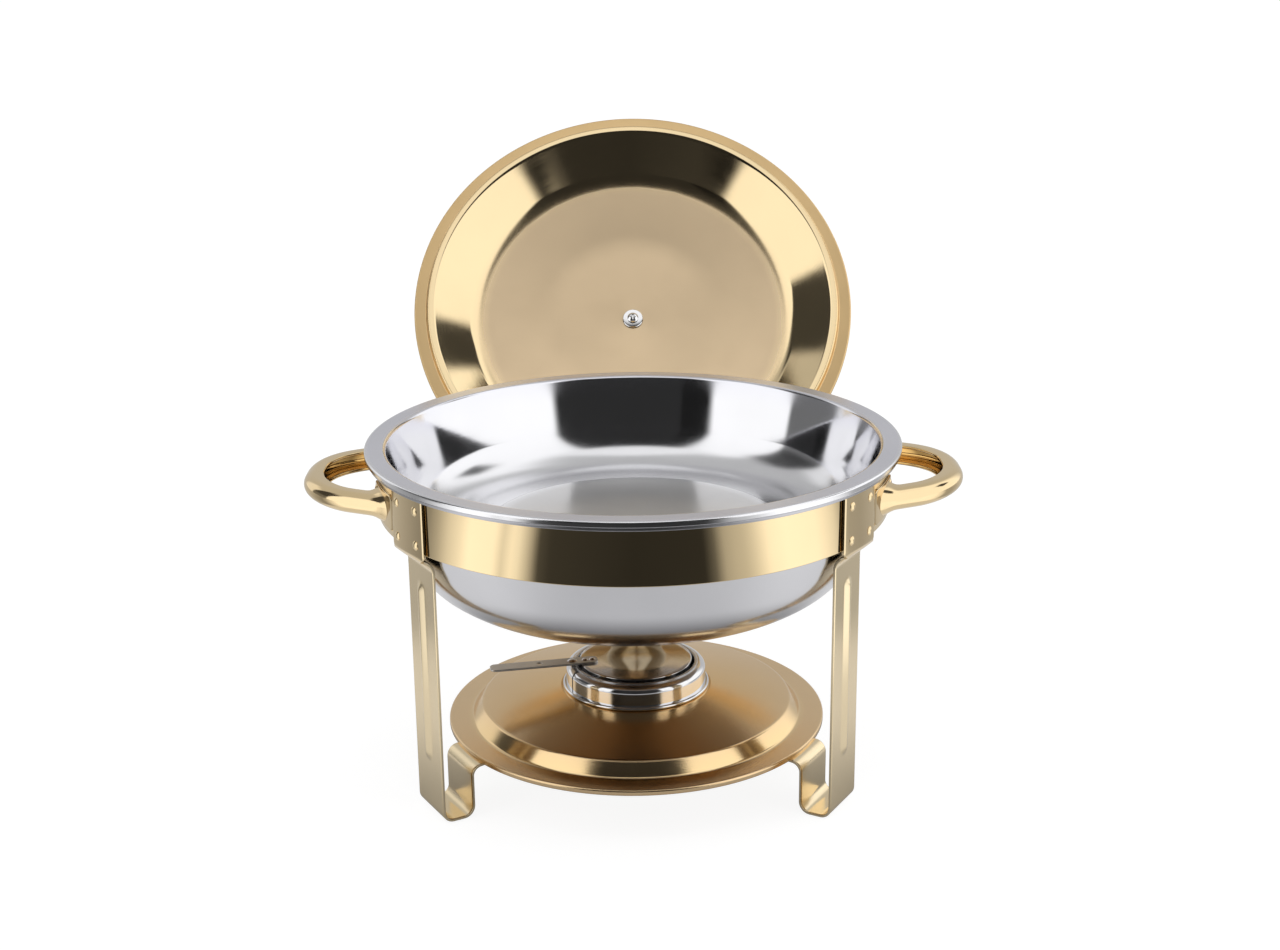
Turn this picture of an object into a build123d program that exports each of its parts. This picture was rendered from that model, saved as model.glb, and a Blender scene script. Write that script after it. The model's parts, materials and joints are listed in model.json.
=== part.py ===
from build123d import *
import os
from math import atan2, cos, hypot, radians, sin, sqrt, tan

# Round chafing dish on a three-legged stand, with a fuel holder below and the lid parked behind.
# Millimetres. The origin is on the table, on the axis of the pans; +Z is up. The carry handles
# are on +X and -X, the front is -Y and the lid is on the +Y side. Angles are in degrees from +X,
# anticlockwise seen from above. A name ending in _r is a radius, in _t a thickness.

os.makedirs("parts", exist_ok=True)


# ---------------------------------------------------------------- helpers
def save(name, part):
    part.label = name
    export_step(part, f"parts/{name}.step")


def unit(start, end):
    dx, dy = end[0] - start[0], end[1] - start[1]
    length = hypot(dx, dy)
    return dx / length, dy / length


def along(point, way, distance):
    return point[0] + way[0] * distance, point[1] + way[1] * distance


def cross(a, b):
    return a[0] * b[1] - a[1] * b[0]


def rounded_path(points, radii):
    """Pieces of a path with rounded corners: a line is (start, end), an arc (start, mid, end)."""
    pieces = []
    current = points[0]
    for before, corner, after, radius in zip(points, points[1:], points[2:], radii):
        if radius < 0.05:
            pieces.append((current, corner))
            current = corner
            continue
        way_in, way_out = unit(before, corner), unit(corner, after)
        dot = way_in[0] * way_out[0] + way_in[1] * way_out[1]
        half_turn = atan2(abs(cross(way_in, way_out)), dot) / 2
        setback = radius * tan(half_turn)
        arc_start = along(corner, way_in, -setback)
        arc_end = along(corner, way_out, setback)
        arc_mid = along(corner, unit(way_in, way_out), radius / cos(half_turn) - radius)
        pieces += [(current, arc_start), (arc_start, arc_mid, arc_end)]
        current = arc_end
    pieces.append((current, points[-1]))
    return pieces


def offset_path(points, radii, distance):
    """Path moved to the right of its direction of travel (to the left if negative)."""
    def shifted(point, way):
        return along(point, (way[1], -way[0]), distance)

    ways = [unit(start, end) for start, end in zip(points, points[1:])]
    moved = [shifted(points[0], ways[0])]
    moved_radii = []
    for corner, radius, way_in, way_out in zip(points[1:], radii, ways, ways[1:]):
        turn = cross(way_in, way_out)
        on_first, on_second = shifted(corner, way_in), shifted(corner, way_out)
        gap = (on_second[0] - on_first[0], on_second[1] - on_first[1])
        moved.append(along(on_first, way_in, cross(gap, way_out) / turn))
        moved_radii.append(max(0.0, radius + (distance if turn > 0 else -distance)))
    moved.append(shifted(points[-1], ways[-1]))
    return moved, moved_radii


def outline(pieces):
    """Face inside head-to-tail lines and arcs; lines of no length are skipped."""
    edges = []
    for piece in pieces:
        ends = [(x, y, 0) for x, y in piece]
        if len(piece) == 3:
            edges.append(Edge.make_three_point_arc(*ends))
        elif hypot(piece[0][0] - piece[1][0], piece[0][1] - piece[1][1]) > 1e-6:
            edges.append(Edge.make_line(*ends))
    return Face(Wire(edges))


def sheet(points, radii, thickness):
    """Section of a bent sheet: one face follows points, the other lies to its right."""
    far_points, far_radii = offset_path(points, radii, thickness)
    near = rounded_path(points, radii)
    far = [piece[::-1] for piece in reversed(rounded_path(far_points, far_radii))]
    return outline(near + [(points[-1], far_points[-1])] + far + [(far_points[0], points[0])])


def radial_plane(angle, origin=(0, 0, 0)):
    """Upright plane with local x pointing outward at angle and local y up."""
    c, s = cos(radians(angle)), sin(radians(angle))
    return Plane(origin=origin, x_dir=(c, s, 0), z_dir=(s, -c, 0))


def face_plane(angle, radius, z):
    """Upright plane facing outward at angle, with local y up."""
    c, s = cos(radians(angle)), sin(radians(angle))
    return Plane(origin=(radius * c, radius * s, z), x_dir=(-s, c, 0), z_dir=(c, s, 0))


def dome_mid(base, radius, height):
    """Middle point (along axis, off axis) of the arc of a dome standing on base."""
    sphere_r = (radius * radius + height * height) / (2 * height)
    half_angle = atan2(radius, sphere_r - height) / 2
    return base + height - sphere_r + sphere_r * cos(half_angle), sphere_r * sin(half_angle)


def spun(profile, plane=Plane.XZ, axis=Axis.Z):
    with BuildPart() as body:
        with BuildSketch(plane):
            add(profile)
        revolve(axis=axis)
    return body.part


# ---------------------------------------------------------------- dome rivets
rivet_shank_r = 1.5
rivet_hole_r = 1.55
rivet_head_r, rivet_head_h = 2.6, 1.1
rivet_tail_r, rivet_tail_h = 2.3, 0.75


def rivets(places, inner, outer):
    """One rivet per (origin, angle); inner and outer are the seats of its tail and head."""
    corners = [(inner - rivet_tail_h, 0), (inner - rivet_tail_h, rivet_tail_r),
               (inner, rivet_tail_r), (inner, rivet_shank_r),
               (outer, rivet_shank_r), (outer, rivet_head_r)]
    top = (outer + rivet_head_h, 0)
    head_arc = (corners[-1], dome_mid(outer, rivet_head_r, rivet_head_h), top)
    profile = outline(list(zip(corners, corners[1:])) + [head_arc, (top, corners[0])])
    with BuildPart() as group:
        for origin, angle in places:
            with BuildSketch(radial_plane(angle, origin)):
                add(profile)
            revolve(axis=Axis(origin, (cos(radians(angle)), sin(radians(angle)), 0)))
    return group.part


# ---------------------------------------------------------------- supporting ring
band_r = 149.2              # outer face
band_t = 1.0
band_bottom_z, band_top_z = 168.5, 202.4
band_edge_round = 0.3

# leg: (angle, span of the head plate, rivet columns), the last two relative to the angle;
# the front heads stop short of the handle lugs
legs = {
    "leg_front_left": (210.0, (-1.6, 11.3), (0.9, 8.6)),
    "leg_front_right": (330.0, (-11.3, 1.6), (-8.6, -0.9)),
    "leg_rear": (90.0, (-9.6, 9.6), (-7.9, 7.9)),
}
leg_rivet_rows = (173.5, 193.0)
handle_angles = {"handle_left": 180.0, "handle_right": 0.0}
handle_rivet_angle = 15.6   # either side of the handle
handle_rivet_rows = (176.8, 189.2)
hole_start_r = 145.0        # leg and handle rivet holes are cut outward from here


def leg_spots(name):
    """(angle, z) of the rivets of one leg."""
    angle, _, columns = legs[name]
    return [(angle + column, z) for column in columns for z in leg_rivet_rows]


def handle_spots(angle):
    """(angle, z) of the rivets of one handle."""
    columns = (-handle_rivet_angle, handle_rivet_angle)
    return [(angle + column, z) for column in columns for z in handle_rivet_rows]


all_leg_spots = [spot for name in legs for spot in leg_spots(name)]
all_handle_spots = handle_spots(0.0) + handle_spots(180.0)


def frame_band():
    with BuildPart() as band:
        with BuildSketch(Plane.XZ):
            with Locations((band_r - band_t / 2, (band_bottom_z + band_top_z) / 2)):
                RectangleRounded(band_t, band_top_z - band_bottom_z, band_edge_round)
        revolve(axis=Axis.Z)
        for angle, z in all_leg_spots + all_handle_spots:
            with BuildSketch(face_plane(angle, band_r - 6, z)):
                Circle(rivet_hole_r)
            extrude(amount=12, mode=Mode.SUBTRACT)
    return band.part


def ring_rivets(spots, outer):
    places = [((0, 0, z), angle) for angle, z in spots]
    return rivets(places, band_r - band_t - 0.03, outer)


save("frame_band", frame_band())

# ---------------------------------------------------------------- three bent strap legs
leg_w = 34.0
leg_t = 1.8
leg_top_r = 151.0           # outer face where the strap meets the head plate
leg_top_z, leg_shoulder_z = 168.2, 165.6
leg_knee_z = 156.5
leg_face_r = 138.0          # outer face of the upright
foot_inner_r = 117.6        # inward face of the short inner upright
foot_round = 7.0
tab_z = 32.0                # top face of the tab under the base plate
tab_r = 103.0               # inner end of the tab
head_inner_r, head_outer_r = 149.3, 151.4
head_bottom_z, head_top_z = 165.8, 199.0

rib_w, rib_h = 9.0, 1.7
rib_bottom_z, rib_top_z = 35.0, 143.0
rib_length = rib_top_z - rib_bottom_z
rib_mid_z = (rib_bottom_z + rib_top_z) / 2
rib_taper = 32              # degrees
rib_hollow = 1.3            # depth of the recess from the inner face of the strap

bracket_z = 88.0            # height of the bracket rivets on the rear leg
bracket_rivet_x = 11.5      # either side of the centre line
bracket_hole_plane = Plane(origin=(0, leg_face_r - 4, bracket_z),
                           x_dir=(-1, 0, 0), z_dir=(0, 1, 0))


def strap_leg(name):
    angle, head_span, _ = legs[name]
    with BuildPart() as leg:
        # strap: head, knee, upright, foot bend, short inner upright, tab; columns (radius, z)
        with BuildSketch(radial_plane(angle)):
            add(sheet([(leg_top_r, leg_top_z), (leg_top_r, leg_shoulder_z),
                       (leg_face_r, leg_knee_z), (leg_face_r, 0.0), (foot_inner_r, 0.0),
                       (foot_inner_r, tab_z - leg_t), (tab_r, tab_z - leg_t)],
                      [0.6, 8.0, foot_round, foot_round, 5.0], leg_t))
        extrude(amount=leg_w / 2, both=True)
        # curved head plate against the ring
        with BuildSketch(radial_plane(angle + head_span[0])):
            with Locations(((head_inner_r + head_outer_r) / 2, (head_bottom_z + head_top_z) / 2)):
                Rectangle(head_outer_r - head_inner_r, head_top_z - head_bottom_z)
        revolve(axis=Axis.Z, revolution_arc=head_span[1] - head_span[0])
        # long embossed rib, raised outside and hollow inside
        with BuildSketch(face_plane(angle, leg_face_r - 0.5, rib_mid_z)):
            SlotOverall(rib_length, rib_w, rotation=90)
        extrude(amount=rib_h + 0.5, taper=rib_taper)
        with BuildSketch(face_plane(angle, leg_face_r - leg_t - 1.0, rib_mid_z)):
            SlotOverall(rib_length - 3.0, rib_w - 3.6, rotation=90)
        extrude(amount=1.0 + rib_hollow, mode=Mode.SUBTRACT)
        for spot_angle, z in leg_spots(name):
            with BuildSketch(face_plane(spot_angle, hole_start_r, z)):
                Circle(rivet_hole_r)
            extrude(amount=12, mode=Mode.SUBTRACT)
        if name == "leg_rear":
            with BuildSketch(bracket_hole_plane):
                with Locations((-bracket_rivet_x, 0), (bracket_rivet_x, 0)):
                    Circle(rivet_hole_r)
            extrude(amount=8, mode=Mode.SUBTRACT)
    return leg.part


for leg_name in legs:
    save(leg_name, strap_leg(leg_name))
save("leg_rivets", ring_rivets(all_leg_spots, head_outer_r))

# ---------------------------------------------------------------- carry handles
handle_x = 192.5            # outermost point
handle_half = 35.9          # outer half width where the arm lines meet the grip line
handle_root_x, handle_root_y = 139.0, 60.0   # a point of the outer arm line at the ring
handle_round = 50.0
handle_depth = 12.0         # depth of the channel section
handle_wall = 2.2
handle_skin = 2.1           # top and bottom of the channel
handle_bottom_z, handle_top_z = 176.2, 188.8
handle_mid_z = (handle_bottom_z + handle_top_z) / 2
handle_h = handle_top_z - handle_bottom_z
handle_edge_round = 5.2
rounded_from_x = 121        # edges centred beyond this are rounded
arm_slope = (handle_root_y - handle_half) / (handle_x - handle_root_x)
arm_start_x = 112.0         # inside the ring, trimmed off later
arm_start_y = handle_root_y + (handle_root_x - arm_start_x) * arm_slope
lug_inner_r, lug_outer_r = 149.25, 150.9
lug_near_angle, lug_far_angle = 12.8, 28.0
lug_bottom_z, lug_top_z = 172.5, 193.5


def loop_face(side, inset):
    """Filled outline of the splayed loop, inset from its outer face."""
    points = [(side * arm_start_x, -arm_start_y), (side * handle_x, -handle_half),
              (side * handle_x, handle_half), (side * arm_start_x, arm_start_y)]
    points, radii = offset_path(points, [handle_round] * 2, -side * inset)
    return outline(rounded_path(points, radii) + [(points[-1], points[0])])


def carry_handle(angle):
    side = 1 if angle == 0.0 else -1
    with BuildPart() as handle:
        with BuildSketch(Plane.XY.offset(handle_bottom_z)):
            add(loop_face(side, 0))
        extrude(amount=handle_h)
        rims = handle.edges().filter_by(
            lambda e: abs(e.center().Z - handle_mid_z) > handle_h / 2 - 0.01
            and side * e.center().X > rounded_from_x)
        fillet(rims, handle_edge_round)
        # open the middle of the loop, then hollow it into an inward-facing channel
        with BuildSketch(Plane.XY.offset(handle_bottom_z - 1)):
            add(loop_face(side, handle_depth))
        extrude(amount=handle_h + 2, mode=Mode.SUBTRACT)
        with BuildSketch(Plane.XY.offset(handle_bottom_z + handle_skin)):
            add(loop_face(side, handle_wall))
        extrude(amount=handle_h - 2 * handle_skin, mode=Mode.SUBTRACT)
        # trim the arms to the ring
        with BuildSketch(Plane.XY.offset(handle_bottom_z - 5)):
            Circle(lug_inner_r)
        extrude(amount=handle_h + 10, mode=Mode.SUBTRACT)
        # curved lugs against the ring
        for start in (-lug_far_angle, lug_near_angle):
            with BuildSketch(radial_plane(angle + start)):
                with Locations(((lug_inner_r + lug_outer_r) / 2, (lug_bottom_z + lug_top_z) / 2)):
                    Rectangle(lug_outer_r - lug_inner_r, lug_top_z - lug_bottom_z)
            revolve(axis=Axis.Z, revolution_arc=lug_far_angle - lug_near_angle)
        for spot_angle, z in handle_spots(angle):
            with BuildSketch(face_plane(spot_angle, hole_start_r, z)):
                Circle(rivet_hole_r)
            extrude(amount=6.5, mode=Mode.SUBTRACT)
    return handle.part


for handle_name, handle_angle in handle_angles.items():
    save(handle_name, carry_handle(handle_angle))
save("handle_rivets", ring_rivets(all_handle_spots, lug_outer_r))

# ---------------------------------------------------------------- spun base plate
plate_t = 1.0
plate_r = 113.5
plate_z = 35.0              # top face of the flat outer ring
plate_flat_r = 99.6
plate_ridge_r, plate_ridge_z = 93.0, 43.5
plate_collar_r, plate_collar_z = 45.6, 51.2
plate_lip_r = 42.7

# columns (radius, z), along the upper face
save("base_plate", spun(sheet(
    [(plate_r, tab_z + 0.02), (plate_r, plate_z), (plate_flat_r, plate_z),
     (plate_ridge_r, plate_ridge_z), (plate_collar_r, plate_collar_z),
     (plate_lip_r, plate_collar_z)],
    [1.3, 3.0, 3.0, 2.0], -plate_t)))

# ---------------------------------------------------------------- fuel holder
sleeve_r = 42.2
sleeve_t = 0.9
sleeve_bottom_z, sleeve_top_z = 40.0, 65.3
sleeve_mouth_r = 36.3
sleeve_lip_h = 2.5
bead_r, bead_z = 44.3, 52.4
bead_h, bead_round = 2.3, 0.9
bead_inner_r = sleeve_r - 0.4
seam_angle, seam_z = 206.0, 58.45
seam_w, seam_h = 1.2, 8.5

cup_r = 35.4                # inner face
cup_t = 0.6
cup_rim_r = 37.3
cup_floor_z, cup_top_z = 42.0, 65.95

swing_angle = 191.0         # direction of the snuffer handle
swing_x, swing_y = cos(radians(swing_angle)), sin(radians(swing_angle))
pivot_r = 39.0              # distance of the pivot from the pan axis


def fuel_sleeve():
    with BuildPart() as sleeve:
        with BuildSketch(Plane.XZ):
            add(sheet([(sleeve_r, sleeve_bottom_z), (sleeve_r, sleeve_top_z),
                       (sleeve_mouth_r, sleeve_top_z),
                       (sleeve_mouth_r, sleeve_top_z - sleeve_lip_h)],
                      [3.0, 1.0], -sleeve_t))
        revolve(axis=Axis.Z)
        # bead just above the collar of the base plate
        with BuildSketch(Plane.XZ):
            with Locations(((bead_inner_r + bead_r) / 2, bead_z)):
                RectangleRounded(bead_r - bead_inner_r, bead_h, bead_round)
        revolve(axis=Axis.Z)
        # open seam in the side
        with BuildSketch(face_plane(seam_angle, sleeve_r - 3.4, seam_z)):
            Rectangle(seam_w, seam_h)
        extrude(amount=6, mode=Mode.SUBTRACT)
        # pivot hole in the top
        with BuildSketch(Plane.XY.offset(sleeve_top_z - 2.3)):
            with Locations((pivot_r * swing_x, pivot_r * swing_y)):
                Circle(1.13)
        extrude(amount=4, mode=Mode.SUBTRACT)
    return sleeve.part


save("fuel_sleeve", fuel_sleeve())
save("fuel_cup", spun(sheet(
    [(cup_rim_r, cup_top_z), (cup_r, cup_top_z), (cup_r, cup_floor_z), (0.0, cup_floor_z)],
    [0.8, 3.0], -cup_t)))

# ---------------------------------------------------------------- swinging snuffer cover
cover_r = 34.0
cover_bottom_z, cover_top_z = 66.7, 67.5
cover_edge_round = 0.35
strip_w, strip_t = 9.5, 1.2
strip_inner_r, strip_outer_r = 23.6, 88.6
strip_round = 2.6
strip_hole_place, strip_hole_r = 58.9, 1.6
strip_pivot_hole_r = 1.16
strip_top_z = cover_top_z + strip_t
swing_plane = Plane(origin=(0, 0, 0), x_dir=(swing_x, swing_y, 0), z_dir=(0, 0, 1))

cover_rivet_places = (26.8, 31.2)            # distances from the pan axis
cover_rivet_hole_r = 1.1
cover_rivet_shank_r = 1.05
cover_rivet_tail_r, cover_rivet_tail_h = 1.7, 0.6
cover_rivet_head_r, cover_rivet_head_h = 1.9, 0.8

pin_r = 1.1
pin_bottom_z = sleeve_top_z - 2.2
pin_tail_r, pin_tail_h = 1.45, 0.7
pin_spacer_r = 1.6          # between the sleeve and the strip
pin_head_r, pin_head_h = 2.9, 0.9
pin_gap = 0.06


def snuffer_cover():
    with BuildPart() as cover:
        with BuildSketch(Plane.XY.offset(cover_bottom_z)):
            Circle(cover_r)
        extrude(amount=cover_top_z - cover_bottom_z)
        fillet(cover.edges().group_by(Axis.Z)[-1], cover_edge_round)
        with BuildSketch(swing_plane.offset(cover_bottom_z - 1)):
            with Locations(*[(place, 0) for place in cover_rivet_places]):
                Circle(cover_rivet_hole_r)
        extrude(amount=3, mode=Mode.SUBTRACT)
    return cover.part


def snuffer_handle():
    with BuildPart() as handle:
        with BuildSketch(swing_plane.offset(cover_top_z)) as strip:
            with Locations(((strip_inner_r + strip_outer_r) / 2, 0)):
                Rectangle(strip_outer_r - strip_inner_r, strip_w)
            fillet(strip.vertices(), strip_round)
            with Locations(*[(place, 0) for place in cover_rivet_places]):
                Circle(cover_rivet_hole_r, mode=Mode.SUBTRACT)
            with Locations((pivot_r, 0)):
                Circle(strip_pivot_hole_r, mode=Mode.SUBTRACT)
            with Locations((strip_hole_place, 0)):
                Circle(strip_hole_r, mode=Mode.SUBTRACT)
        extrude(amount=strip_t)
    return handle.part


def pin_plane(place):
    """Plane for the section of an upright pin: local x is z, local y the pin's own radius."""
    return Plane(origin=(place * swing_x, place * swing_y, 0),
                 x_dir=(0, 0, 1), z_dir=(swing_y, -swing_x, 0))


def pin_axis(place):
    return Axis((place * swing_x, place * swing_y, 0), (0, 0, 1))


def snuffer_rivets():
    tail_z = cover_bottom_z - cover_rivet_tail_h
    head_top = (strip_top_z + cover_rivet_head_h, 0)
    with BuildPart() as pair:
        for place in cover_rivet_places:
            with BuildSketch(pin_plane(place)):
                with BuildLine():
                    Polyline((tail_z, 0), (tail_z, cover_rivet_tail_r),
                             (cover_bottom_z, cover_rivet_tail_r),
                             (cover_bottom_z, cover_rivet_shank_r),
                             (strip_top_z, cover_rivet_shank_r),
                             (strip_top_z, cover_rivet_head_r))
                    ThreePointArc((strip_top_z, cover_rivet_head_r),
                                  dome_mid(strip_top_z, cover_rivet_head_r, cover_rivet_head_h),
                                  head_top)
                    Line(head_top, (tail_z, 0))
                make_face()
            revolve(axis=pin_axis(place))
    return pair.part


def snuffer_pivot_pin():
    tail_top_z = pin_bottom_z + pin_tail_h
    spacer_bottom_z, spacer_top_z = sleeve_top_z + pin_gap, cover_top_z - pin_gap
    seat_z = strip_top_z + pin_gap
    head_top = (seat_z + pin_head_h, 0)
    with BuildPart() as pin:
        with BuildSketch(pin_plane(pivot_r)):
            with BuildLine():
                Polyline((pin_bottom_z, 0), (pin_bottom_z, pin_tail_r), (tail_top_z, pin_tail_r),
                         (tail_top_z, pin_r), (spacer_bottom_z, pin_r),
                         (spacer_bottom_z, pin_spacer_r), (spacer_top_z, pin_spacer_r),
                         (spacer_top_z, pin_r), (seat_z, pin_r), (seat_z, pin_head_r))
                ThreePointArc((seat_z, pin_head_r),
                              dome_mid(seat_z, pin_head_r, pin_head_h), head_top)
                Line(head_top, (pin_bottom_z, 0))
            make_face()
        revolve(axis=pin_axis(pivot_r))
    return pin.part


save("snuffer_cover", snuffer_cover())
save("snuffer_handle", snuffer_handle())
save("snuffer_rivets", snuffer_rivets())
save("snuffer_pivot_pin", snuffer_pivot_pin())

# ---------------------------------------------------------------- pans
water_t = 0.8
water_flange_r = 153.8
water_flange_z = 202.45     # underside of the flange
water_skirt_z = 201.0
water_wall_r = 146.4        # outer face of the wall under the flange
water_belly_r, water_belly_z = 131.0, 136.0
water_floor_r, water_floor_z = 105.0, 113.5

food_t = 0.8
rim_r, rim_z = 156.0, 206.5 # outer radius and top face of the flange
rim_skirt_z = 203.35
mouth_r = 144.0
food_wall_foot_r = 129.0    # wall radius at floor level before rounding
food_foot_round = 28.0
food_floor_z = 152.0        # upper face of the outer floor ring
food_step_r, food_step_h = 86.0, 3.0         # raised floor disc
food_step_run = 4.0

# columns (radius, z), along the underside
save("water_pan", spun(sheet(
    [(water_flange_r, water_skirt_z), (water_flange_r, water_flange_z),
     (water_wall_r, water_flange_z), (water_belly_r, water_belly_z),
     (water_floor_r, water_floor_z), (0.0, water_floor_z)],
    [0.6, 1.2, 40.0, 60.0], water_t)))

# columns (radius, z), along the upper face
save("food_pan", spun(sheet(
    [(rim_r, rim_skirt_z), (rim_r, rim_z), (mouth_r, rim_z), (food_wall_foot_r, food_floor_z),
     (food_step_r + food_step_run, food_floor_z), (food_step_r, food_floor_z + food_step_h),
     (0.0, food_floor_z + food_step_h)],
    [1.5, 2.5, food_foot_round, 2.5, 2.5], -food_t)))

# ---------------------------------------------------------------- lid, leaning back
lid_r = 153.0
lid_t = 0.8
lid_lean = 40.0             # from vertical
lid_centre = (0.0, 240.0, 234.5)
lid_dish = 23.6             # depth of the dish at the centre
lean_cos, lean_sin = cos(radians(lid_lean)), sin(radians(lid_lean))
lid_up = (0.0, lean_sin, lean_cos)           # in the plane of the lid
lid_out = (0.0, lean_cos, -lean_sin)         # towards the knob side
# lid sections have columns (radius, distance towards the knob side)
lid_plane = Plane(origin=lid_centre, x_dir=(1, 0, 0), z_dir=lid_up)
lid_axis = Axis(lid_centre, lid_out)

plaque_base = lid_dish + lid_t + 0.05        # on the outer face of the dish
plaque_r, plaque_h = 17.0, 3.2
plaque_hole_r = 2.4
knob_seat = plaque_base + plaque_h
knob_foot_r, knob_neck_r = 6.4, 6.5
knob_ball_r = 12.6
knob_ball_centre = knob_seat + 17.0
knob_bore_r, knob_bore_depth = 2.1, 14.0
knob_flat_r = 1.0
washer_seat = lid_dish - 0.35                # on the inner face of the dish
washer_r, washer_t = 7.2, 1.1
screw_seat = washer_seat - 1.12
screw_shank_r = 2.05
screw_head_r = 3.8
screw_edge_h, screw_dome_h = 1.0, 1.6
cross_length, cross_w = 4.2, 0.9


def lid_escutcheon():
    with BuildPart() as escutcheon:
        with BuildSketch(lid_plane):
            with BuildLine():
                Polyline((plaque_hole_r, plaque_base), (plaque_r, plaque_base - 0.02),
                         (plaque_r, plaque_base + 1.0))
                ThreePointArc((plaque_r, plaque_base + 1.0), (13.0, plaque_base + 2.7),
                              (6.6, knob_seat))
                Polyline((6.6, knob_seat), (plaque_hole_r, knob_seat),
                         (plaque_hole_r, plaque_base))
            make_face()
        revolve(axis=lid_axis)
    return escutcheon.part


def lid_knob():
    neck = (knob_neck_r, knob_ball_centre - sqrt(knob_ball_r ** 2 - knob_neck_r ** 2))
    top = knob_ball_centre + sqrt(knob_ball_r ** 2 - knob_flat_r ** 2)
    bore_end = knob_seat + knob_bore_depth
    with BuildPart() as knob:
        with BuildSketch(lid_plane):
            with BuildLine():
                Polyline((knob_bore_r, bore_end), (knob_bore_r, knob_seat),
                         (knob_foot_r, knob_seat), (knob_foot_r, knob_seat + 1.5))
                ThreePointArc((knob_foot_r, knob_seat + 1.5), (5.2, knob_seat + 3.6), neck)
                ThreePointArc(neck, (knob_ball_r, knob_ball_centre), (knob_flat_r, top))
                Polyline((knob_flat_r, top), (0.0, top), (0.0, bore_end),
                         (knob_bore_r, bore_end))
            make_face()
        revolve(axis=lid_axis)
    return knob.part


def lid_washer():
    inner, outer = washer_seat - washer_t, washer_seat - 0.05
    with BuildPart() as washer:
        with BuildSketch(lid_plane):
            with BuildLine():
                Polyline((2.2, inner), (6.6, inner), (washer_r, washer_seat - 0.7),
                         (washer_r, outer), (2.2, outer), close=True)
            make_face()
        revolve(axis=lid_axis)
    return washer.part


def lid_screw():
    edge = screw_seat - screw_edge_h
    head_end = edge - screw_dome_h
    shank_end = knob_seat + 12.0
    dome_rise, dome_off = dome_mid(0.0, screw_head_r, screw_dome_h)
    with BuildPart() as screw:
        with BuildSketch(lid_plane):
            with BuildLine():
                Polyline((0.0, head_end), (0.0, shank_end), (screw_shank_r, shank_end),
                         (screw_shank_r, screw_seat), (screw_head_r, screw_seat),
                         (screw_head_r, edge))
                ThreePointArc((screw_head_r, edge), (dome_off, edge - dome_rise),
                              (0.0, head_end))
            make_face()
        revolve(axis=lid_axis)
        # cross recess in the head
        recess_start = Vector(*lid_centre) + Vector(*lid_out) * (screw_seat - 4.0)
        with BuildSketch(Plane(origin=recess_start, x_dir=(1, 0, 0), z_dir=lid_out)):
            Rectangle(cross_length, cross_w)
            Rectangle(cross_w, cross_length)
        extrude(amount=2.9, mode=Mode.SUBTRACT)
    return screw.part


# section along the inner face, from the rim to the screw hole
save("lid_shell", spun(sheet(
    [(lid_r, 3.0), (lid_r, 0.0), (144.4, 0.0), (143.6, -4.2), (138.8, -4.2), (111.0, 18.6),
     (60.0, 22.6), (2.3, lid_dish)],
    [1.2, 1.0, 1.6, 3.5, 18.0, 250.0], lid_t), lid_plane, lid_axis))
save("lid_escutcheon", lid_escutcheon())
save("lid_knob", lid_knob())
save("lid_washer", lid_washer())
save("lid_screw", lid_screw())

# ---------------------------------------------------------------- lid holder behind the rear leg
arm_x = 55.0                # centre of each arm
arm_half_w = 4.0
arm_t = 2.2
arm_face = 24.6             # bearing face, from the lid plane
bar_w, bar_t = 13.0, 2.3
bar_place = -124.0          # centre of the cross bar, along lid_up
bar_front = arm_face + arm_t - 0.1           # sunk slightly into the arms
bar_back = bar_front + bar_t

bracket_t = 2.0
bracket_half_w = 17.0
bracket_bottom_z, bracket_shelf_z = 78.0, 100.0
bracket_top = -118.5        # upper end, along lid_up


def cradle_plane(x):
    """Plane across the lid at x: local x is lid_up, local y is lid_out."""
    return Plane(origin=(x, lid_centre[1], lid_centre[2]), x_dir=lid_up, z_dir=(-1, 0, 0))


def lid_cradle():
    with BuildPart() as cradle:
        for side in (-1, 1):
            with BuildSketch(cradle_plane(side * arm_x)):
                # bearing face runs down behind the lid, under its edge and up in front of it
                add(sheet([(12.0, arm_face + 1.5), (0.0, arm_face), (-144.5, arm_face),
                           (-144.5, -1.2), (-138.0, -1.2)],
                          [12.0, 4.0, 1.6], arm_t))
            extrude(amount=arm_half_w, both=True)
        # cross bar
        with BuildSketch(cradle_plane(0)):
            with Locations((bar_place, (bar_front + bar_back) / 2)):
                Rectangle(bar_w, bar_t)
        extrude(amount=arm_x + arm_half_w, both=True)
    return cradle.part


def cradle_bracket():
    # where the back plane of the cross bar crosses shelf height: along lid_up, then as y
    bend = (bracket_shelf_z - lid_centre[2] + lean_sin * bar_back) / lean_cos
    bend_y = lid_centre[1] + lean_sin * bend + lean_cos * bar_back
    rise = bracket_top - bend
    with BuildPart() as bracket:
        with BuildSketch(Plane.YZ):
            add(sheet([(leg_face_r, bracket_bottom_z), (leg_face_r, bracket_shelf_z),
                       (bend_y, bracket_shelf_z),
                       (bend_y + lean_sin * rise, bracket_shelf_z + lean_cos * rise)],
                      [3.2, 3.0], bracket_t))
        extrude(amount=bracket_half_w, both=True)
        # slot that clears the rib of the rear leg
        with BuildSketch(Plane.XY.offset(70)):
            with Locations((0, leg_face_r + 2.0)):
                Rectangle(rib_w + 3.0, 9.0)
        extrude(amount=40, mode=Mode.SUBTRACT)
        with BuildSketch(bracket_hole_plane):
            with Locations((-bracket_rivet_x, 0), (bracket_rivet_x, 0)):
                Circle(rivet_hole_r)
        extrude(amount=10, mode=Mode.SUBTRACT)
    return bracket.part


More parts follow.
